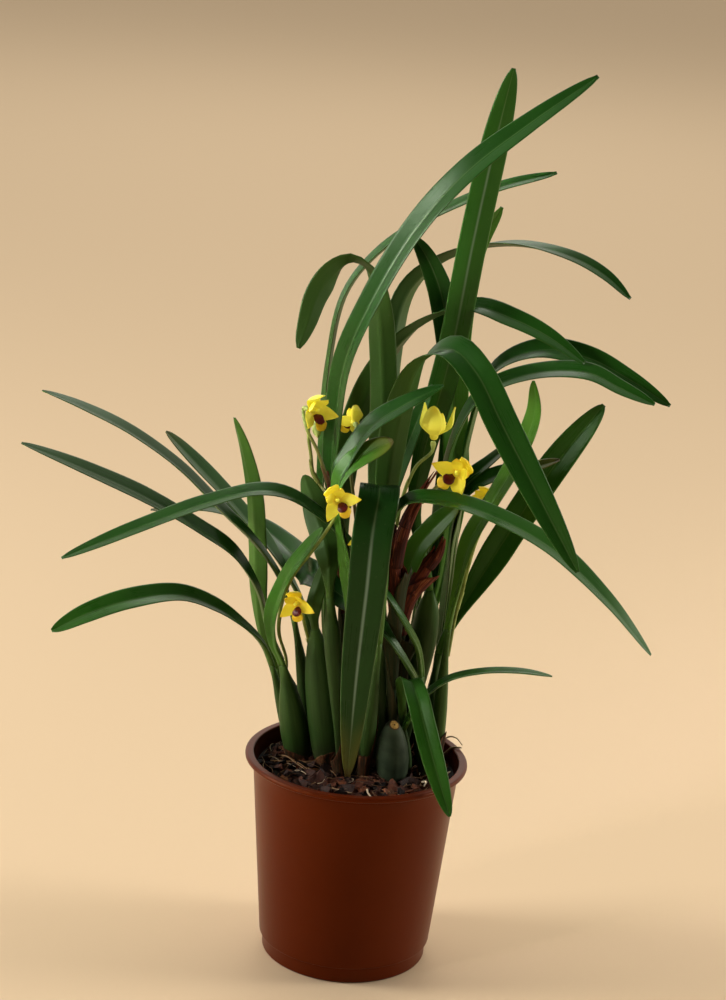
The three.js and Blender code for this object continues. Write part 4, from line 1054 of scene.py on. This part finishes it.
def add_flower(tissue, made, seed):
    cup, matrix = made.cup, made.matrix
    sepal = ((0.8, 0.2), (SEPAL_LENGTH * 0.5, mix(2.2, 4, cup)),
             (SEPAL_LENGTH * mix(1, 0.6, cup), mix(2.4, 11, cup)))
    petal = ((0.8, 0.8), (PETAL_LENGTH * 0.42, 3.6), (PETAL_LENGTH * mix(0.7, 0.45, cup), mix(7, 9.5, cup)))
    hood = ((0.8, 0.2), (SEPAL_LENGTH * 0.52, 2.8 + cup),
            (SEPAL_LENGTH * mix(0.68, 0.5, cup), mix(8.5, 12, cup)))
    tongues = [(HOOD_TURN, hood, HOOD_WIDTHS, 0.5, 0)]
    tongues += [(turn, sepal, SEPAL_WIDTHS, 0.5, number) for number, turn in enumerate(SEPAL_TURNS, 1)]
    tongues += [(turn, petal, PETAL_WIDTHS, 0.4, number) for number, turn in enumerate(PETAL_TURNS, 5)]
    for turn, outline, widths, ruffle, number in tongues:
        add_tongue(tissue, matrix, turn, outline, widths, TEPAL_HALF_THICKNESS, {"tone": made.gold, "dry": 0},
                   dish=0.2, curl=3, ruffle=ruffle, seed=seed + number)
    add_tongue(tissue, matrix, HOOD_TURN, ((0, 0), (0.7, 2.6), (0.5, 4.6)), COLUMN_WIDTHS, 0.85,
               {"tone": 0.2, "dry": 0.15}, rings=14)
    add_ball(tissue, matrix @ Matrix.Translation(Vector((0, 0.4, 4.6)) * MM), (0.95, 0.8, 0.75),
             {"tone": 0.0, "dry": 0})
    add_ball(tissue, matrix, (FLOWER_CENTRE_RADIUS * 0.92,) * 3, {"tone": 0.5, "dry": 0.35, "upper": 0})


# %% [markdown]
# Each stalk starts beside its host, a shoot or the foot of a leaf, and ends in the ovary, which
# is a little thicker and sits behind the flower. A thin bract wraps it on the way.

# %% Stalks
def host_place(made, toward):
    """Where a stalk leaves its host, on the side that looks toward a place."""
    if hasattr(made.host, "swell"):
        axis, radius = made.host.line.point(made.share), shoot_radius(made.host, made.share)
    else:
        axis = made.host.line.point(made.share / made.host.line.spans)
        radius = made.host.bulb[0] / 2 * between(made.host.outline, made.share)
    outward = toward - axis
    outward.z = 0
    return axis + outward.normalized() * (radius + STALK_RADIUS + CLEARANCE) * MM


def stalk_radius(share):
    return STALK_RADIUS * (0.82 + 0.5 * smooth(share, 0.8, 0.93) - 0.25 * smooth(share, 0.95, 1))


def stalk_tissue(made, *ends):
    line = Line([host_place(made, made.stalk[0]), *made.stalk, *ends])
    tissue = Tissue()
    tissue.stem(line, stalk_radius, lambda share: {"tone": bound(made.red * (1.25 - 1.6 * share))}, 14, 56)
    add_sheath(tissue, line, 0.2, 0.4, STALK_RADIUS * 0.9, STALK_RADIUS * 1.08, 1.9 + made.red, 2.5)
    return tissue


for number, (name, made) in enumerate(FLOWERS.items()):
    name = "flower_" + name
    petals = Tissue()
    add_flower(petals, made, 7.3 * number)
    petals.finished(name + "_fine", PETAL_FINISH, "petal", name)
    tongue = Tissue()
    add_tongue(tongue, made.matrix, LIP_TURN, ((2, 2), (3.4, 4.4), (6, 5.4), (8.6, 4.2)), LIP_WIDTHS, 0.42,
               {"tone": 0}, dish=-0.1, curl=-6, ruffle=0.9, seed=3.1 * number)
    tongue.finished(name + "_lip_fine", LIP_FINISH, "lip", name + "_lip")
    behind = FLOWER_CENTRE_RADIUS + CLEARANCE / made.size
    stem = stalk_tissue(made, *(made.matrix @ Vector((0, 0, -far * MM)) for far in (behind + 4, behind)))
    stem.finished(name + "_stalk_fine", STALK_FINISH, "stalk", name + "_stalk")
print("flowers:", len(FLOWERS))

bud = stalk_tissue(BUD)
add_tongue(bud, BUD.matrix, HOOD_TURN, ((0, -3), (0, 1), (0, 5.4)), BUD_WIDTHS, 2.0, {"tone": 0})
bud.finished("bud_fine", STALK_FINISH, "stalk", "bud")

# %% [markdown]
# ## The potting mix
# Orchids grow in coarse bark, not in soil. Its body is one closed sleeve that follows the pot's
# inner wall, with a top that rises and falls. Loose chips lie on it: each one is a copy of one
# pattern, a cube whose corners and faces are then pushed about by noise, so that no two are
# alike. They stay flat shaded, because bark breaks with sharp edges. Thin fibres and a few pale
# roots lie over them.

# %% Body of the mix
FOOT_RADIUS = 44.8
POT_FLOOR = 3
WALL_THICKNESS = 1.5
BODY_BOTTOM_RADIUS = 46.7
BODY_TOP_RADIUS = 55.7
BODY_BOTTOM = 9.4
LIP_BOTTOM = 110.3
SOIL_LEVEL = 105
SOIL_SINK = 1.2
MIX_ROUGHNESS = 1.6
FLOOR_SHARE, WALL_SHARE = 0.2, 0.4


def body_radius(height):
    return mix(BODY_BOTTOM_RADIUS, BODY_TOP_RADIUS, (height - BODY_BOTTOM) / (LIP_BOTTOM - BODY_BOTTOM))


def wall_inside(height):
    step_in = BODY_BOTTOM_RADIUS - FOOT_RADIUS if height < BODY_BOTTOM + WALL_THICKNESS else 0
    return body_radius(max(height, BODY_BOTTOM)) - WALL_THICKNESS - step_in


def on_mix(x, y, lift=0.0):
    """A spot of the mix, on its uneven top."""
    relief = MIX_ROUGHNESS * noise.fractal(Vector((x / 9, y / 9, 4.2)), 0.6, 2.0, 4)
    return Vector((x, y, SOIL_LEVEL + relief + lift))


def mix_surface(around, along):
    height = mix(POT_FLOOR + CLEARANCE, SOIL_LEVEL, bound((along - FLOOR_SHARE) / (WALL_SHARE - FLOOR_SHARE)))
    inward = bound(min(along / FLOOR_SHARE, (1 - along) / (1 - WALL_SHARE)))
    x, y = polar((wall_inside(height) - CLEARANCE) * inward, TURN * around)
    if along >= WALL_SHARE:
        height = mix(height, on_mix(x, y).z, smooth(along, WALL_SHARE, 0.46)) - SOIL_SINK
    return Vector((x, y, height)) * MM, (around, along), {"tone": 0.1}


mix_tissue = Tissue()
bmesh.ops.create_cube(mix_tissue.mesh, size=1)
bmesh.ops.subdivide_edges(mix_tissue.mesh, edges=mix_tissue.mesh.edges, cuts=2, use_grid_fill=True)
chip_pattern = [*mix_tissue.mesh.verts, *mix_tissue.mesh.edges, *mix_tissue.mesh.faces]
mix_tissue.sleeve(120, 100, mix_surface)

# %% [markdown]
# Most chips are strewn by chance, and none of them lies inside a pseudobulb. Chance and the noise
# that shapes the chips both start from a set number, so every run gives the same mix. A few chips
# were read from the photograph: a reddish one in front and paler ones round it.

# %% Bark chips
random.seed(41)
noise.seed_set(41)
CHIP_COUNT = 1000
CHIP_FIELD = 52.5
READ_CHIPS = (
    ((3.6, -31, 1.6), (9, 5, 2), 0.72), ((21.5, -26, 1.8), (7, 5, 3), 0.62),
    ((-12, -31, 1.4), (6, 4, 2), 0.6), ((33, -24, 1.2), (6, 4, 2), 0.65),
    ((-34, -16, 1.2), (6, 4, 2), 0.6), ((46, -2, 1.2), (6, 4, 2), 0.6))
feet = [(made.base, sum(made.bulb) / 4) for made in GROWTHS.values()] + [(OLD_BULB_BASE, OLD_BULB_WIDTH / 2)]


def add_chip(place, size, tone):
    copy = bmesh.ops.duplicate(mix_tissue.mesh, geom=chip_pattern)["geom"]
    seed = Vector([random.uniform(0, 99) for _ in "xyz"])
    turn = (Matrix.Rotation(random.uniform(0, TURN), 4, "Z")
            @ Matrix.Rotation(random.gauss(0, 0.4), 4, "X") @ Matrix.Rotation(random.gauss(0, 0.4), 4, "Y"))
    shape = Matrix.Translation(place * MM) @ turn @ Matrix.Diagonal((*[s * MM for s in size], 1))
    for vertex in copy:
        if isinstance(vertex, bmesh.types.BMVert):
            for scale, push in ((0.9, 0.45), (3.7, 0.12)):
                vertex.co += noise.noise_vector(vertex.co * scale + seed) * push
            vertex.co = shape @ vertex.co
            mix_tissue.mark(vertex, {"tone": tone})


for _ in range(CHIP_COUNT):
    length = random.uniform(2.4, 6.5) if random.random() < 0.85 else random.uniform(6.5, 9.5)
    radius = (CHIP_FIELD - length * 0.55) * math.sqrt(random.random())
    x, y = polar(radius, random.uniform(0, TURN))
    place = on_mix(x, y, random.uniform(-1.2, 1.2))
    size = (length, length * random.uniform(0.35, 0.8), length * random.uniform(0.2, 0.45))
    tone = bound(random.gauss(0.38, 0.26))
    if all(math.dist(foot, (x, y)) >= radius * 0.7 - 1.5 for foot, radius in feet):
        add_chip(place, size, tone)
for (x, y, lift), size, tone in READ_CHIPS:
    add_chip(Vector((x, y, SOIL_LEVEL + lift)), size, tone)
bmesh.ops.delete(mix_tissue.mesh, geom=chip_pattern, context="FACES")
mix_tissue.finished("potting_mix_fine", BARK_FINISH, "bark", "potting_mix")

# %% Roots and fibres
FIBRE_COUNT = 210
ROOT_COUNT = 4
BENDS = 5
LAID_ROOTS = (
    (0.8, 0.7, ((44, 21, 106), (48, 20.5, 109), (52, 19.5, 113.4), (57, 17.5, 114.6))),
    (0.5, 0.7, ((43, 31, 106), (46, 31, 111), (50, 31, 115), (54, 28, 116), (57.5, 22, 114.4))),
    (0.7, 0.95, ((46, -9, 107.2), (48.5, -7, 108.4), (51, -3, 108.6))),
    (0.6, 0.9, ((31, 20, 107), (33, 16, 108.6), (34, 10, 107.6))),
    (0.55, 0.9, ((34, 3, 107.4), (35, -2, 108.8), (34.5, -8, 107.6))),
    (0.6, 0.85, ((36, -17, 107.2), (38, -20, 108.8), (37, -24, 107.8))),
    (0.3, 0.5, ((-44, 6, 107), (-38, 2, 108.6), (-33, -5, 108.4), (-27, -12, 107.4))),
    (0.3, 0.45, ((-46, -2, 107), (-39, -5, 108.4), (-32, -6, 108.8), (-24, -14, 107.4))))
roots = Tissue()


def add_root(spots, radius, tone, thinning, sides, rings):
    line = Line([Vector(spot) * MM for spot in spots])
    roots.stem(line, lambda share: radius * (1 - thinning * share ** 2), lambda share: {"tone": tone},
               sides, rings)


def add_strand(start, heading, length, radius, lift, tone, sides=6, rings=12):
    """A root or fibre that wanders over the mix in short bends."""
    spots, place = [], Vector(start)
    for _ in range(BENDS):
        if place.length < CHIP_FIELD - 1:
            spots.append(on_mix(*place, lift + random.uniform(0, 0.7)))
        heading += random.gauss(0, 0.45)
        place += Vector(polar(length / 4, heading))
    if len(spots) > 2:
        add_root(spots, radius, tone, 0.6, sides, rings)


for _ in range(FIBRE_COUNT):
    angle, radius = random.uniform(0, TURN), CHIP_FIELD * math.sqrt(random.random())
    add_strand(polar(radius, angle), random.uniform(0, 6.3), random.uniform(8, 20),
               random.uniform(0.14, 0.3), random.uniform(1.0, 2.6), min(0.7, random.expovariate(4.5)))
for _ in range(ROOT_COUNT):
    angle = random.gauss(-0.65, 1.0)
    add_strand(polar(36, angle), angle + random.gauss(0, 0.9), random.uniform(8, 14),
               random.uniform(0.4, 0.65), random.uniform(1.6, 2.4), random.uniform(0.5, 0.85), 10, 18)
for radius, tone, spots in LAID_ROOTS:
    add_root(spots, radius, tone, 0.5, 10, 20)
roots.finished("roots_and_fibres", ROOT_FINISH, "bark")
print("potting mix and roots:", [len(p.data.polygons) for p in PIECES[-2:]])

# %% [markdown]
# ## The pot
# A moulded nursery pot is a solid of revolution: one outline, from the foot up the outer wall,
# over the rolled lip and down inside, spun round the upright axis. Its two flat floors have holes,
# which no spin makes, so each is filled between its rim and the six drain circles, and the circles
# are bridged through the floor.

# %% Outline of the pot
POT_STEPS = 128
LIP_OUTER = 60
LIP_INNER = 55.2
LIP_ROLL = 1.45
FOOT_EDGE = 1.6
POT_HEIGHT = 113.3
DRAIN_COUNT = 6
DRAIN_RADIUS = 4
DRAIN_CIRCLE = 26
DRAIN_SIDES = 32


def arc(x, y, radius, start, end, steps):
    """Points of an arc in the outline's plane, in millimetres, between two angles in degrees."""
    for i in range(steps + 1):
        dx, dy = polar(radius, math.radians(mix(start, end, i / steps)))
        yield x + dx, y + dy


POT_OUTLINE = [
    *arc(FOOT_RADIUS - FOOT_EDGE, FOOT_EDGE, FOOT_EDGE, -90, 0, 6),
    (FOOT_RADIUS, BODY_BOTTOM - 0.9), (FOOT_RADIUS + 0.15, BODY_BOTTOM - 0.3),
    *arc(BODY_BOTTOM_RADIUS - 0.7, BODY_BOTTOM + 0.6, 0.7, -60, 0, 4),
    *((body_radius(height), height) for height in (30, 50, 70, 90, 100, LIP_BOTTOM - 1.2)),
    (BODY_TOP_RADIUS + 0.2, LIP_BOTTOM - 0.3), (BODY_TOP_RADIUS + 0.8, LIP_BOTTOM),
    *arc(LIP_OUTER - LIP_ROLL, LIP_BOTTOM + LIP_ROLL, LIP_ROLL, -90, 0, 6),
    *arc(LIP_OUTER - LIP_ROLL, POT_HEIGHT - LIP_ROLL, LIP_ROLL, 0, 90, 7),
    *arc(LIP_INNER + 1, POT_HEIGHT - 1, 1, 90, 180, 5),
    (LIP_INNER - 0.2, LIP_BOTTOM + 0.8), (wall_inside(LIP_BOTTOM - 1), LIP_BOTTOM - 1),
    *((wall_inside(height), height) for height in (90, 70, 50, 30, BODY_BOTTOM + 2)),
    (wall_inside(BODY_BOTTOM), BODY_BOTTOM), (wall_inside(BODY_BOTTOM), POT_FLOOR)]

# %% Spin the wall, then close the floors round their holes
pot_mesh = bmesh.new()
outline = [pot_mesh.verts.new((radius * MM, 0, height * MM)) for radius, height in POT_OUTLINE]
wall = outline + [pot_mesh.edges.new(pair) for pair in zip(outline, outline[1:])]
bmesh.ops.spin(pot_mesh, geom=wall, cent=(0, 0, 0), axis=(0, 0, 1), angle=TURN, steps=POT_STEPS,
               use_merge=True, use_duplicate=False)
bmesh.ops.remove_doubles(pot_mesh, verts=pot_mesh.verts, dist=1e-6)


def drain_circles(height):
    for number in range(DRAIN_COUNT):
        middle = Vector((*polar(DRAIN_CIRCLE, TURN * number / DRAIN_COUNT), height)) * MM
        circle = bmesh.ops.create_circle(pot_mesh, segments=DRAIN_SIDES, radius=DRAIN_RADIUS * MM,
                                         matrix=Matrix.Translation(middle))["verts"]
        yield list({edge for vertex in circle for edge in vertex.link_edges})


floors = {height: list(drain_circles(height)) for height in (0, POT_FLOOR)}
for height, circles in floors.items():
    rim = [edge for edge in pot_mesh.edges if edge.is_boundary
           and all(abs(vertex.co.z - height * MM) < 1e-6 for vertex in edge.verts)]
    bmesh.ops.triangle_fill(pot_mesh, use_beauty=True, use_dissolve=False, edges=sum(circles, rim))
for low, high in zip(*floors.values()):
    bmesh.ops.bridge_loops(pot_mesh, edges=low + high)
bmesh.ops.recalc_face_normals(pot_mesh, faces=pot_mesh.faces)
for face in pot_mesh.faces:
    face.smooth = abs(face.normal.z) < 0.999
print("pot: open edges", sum(edge.is_boundary for edge in pot_mesh.edges))
piece("pot_fine", pot_mesh, POT_FINISH, "pot", "pot")

# %% [markdown]
# ## Floor, light and the end
# A plain pale floor runs on beyond the picture, so no horizon shows. The light is soft and comes
# from the sides: a large key from the left, a weaker light from the right and a broad one from
# above and behind. A narrow beam from the front brings out the gloss. The surroundings are pale
# behind the plant and dim behind the camera, as in a studio, so the pot is lighter at its two
# edges than in its middle. The world's own Generated coordinate is the direction in which one
# looks, and its y is how far that is to the back.

# %% Floor
FLOOR_SIZE = 14
floor_mesh = bmesh.new()
bmesh.ops.create_grid(floor_mesh, x_segments=1, y_segments=1, size=FLOOR_SIZE)
floor_finish = Finish("floor_finish", base_color=(0.775, 0.592, 0.385), roughness=0.9, specular_ior_level=0.1)
body("floor", floor_mesh, floor_finish.owner)

# %% Lights: where each stands, where it looks, its size, watts, spread in degrees and colour
LIGHTS = {
    "key": ((-1.9, -0.1, 0.95), (0, 0, 0.2), 0.8, 33, 180, (1.0, 0.97, 0.92)),
    "front": ((-1.6, -1.2, 1.1), (0, 0, 0.43), 0.6, 0.55, 17, (1.0, 0.98, 0.95)),
    "side": ((1.9, 0.15, 0.7), (0, 0, 0.2), 0.7, 23, 180, (1.0, 0.96, 0.91)),
    "far": ((0.0, 3.5, 3.5), (0, 3.4, 0), 2.0, 40, 180, (1.0, 0.98, 0.95)),
}
for name, (place, target, size, power, spread, paint) in LIGHTS.items():
    lamp = bpy.data.lights.new(name, "AREA")
    lamp.shape, lamp.size, lamp.energy, lamp.color = "DISK", size, power, paint
    lamp.spread = math.radians(spread)
    aim = (Vector(target) - Vector(place)).to_track_quat("-Z", "Y")
    add_to_scene(name, lamp).matrix_world = Matrix.Translation(place) @ aim.to_matrix().to_4x4()

# %% Surroundings
DIM, BRIGHT = 0.02, 1.26
studio = Finish("surroundings", kind="worlds")
_, to_back = studio.parts(studio.node("TexCoord", output="Generated"))
backdrop = studio.tree.nodes["Background"]
connect(socket(backdrop, "color"), colour((0.93, 0.86, 0.76)))
connect(socket(backdrop, "strength"), DIM + to_back.step(-0.4, 0.7) * (BRIGHT - DIM))
bpy.context.scene.world = studio.owner
bpy.context.scene.view_settings.view_transform = "Standard"

# %% Sizes, and the end
print("triangles:", sum(len(face.vertices) - 2 for made in PIECES for face in made.data.polygons))
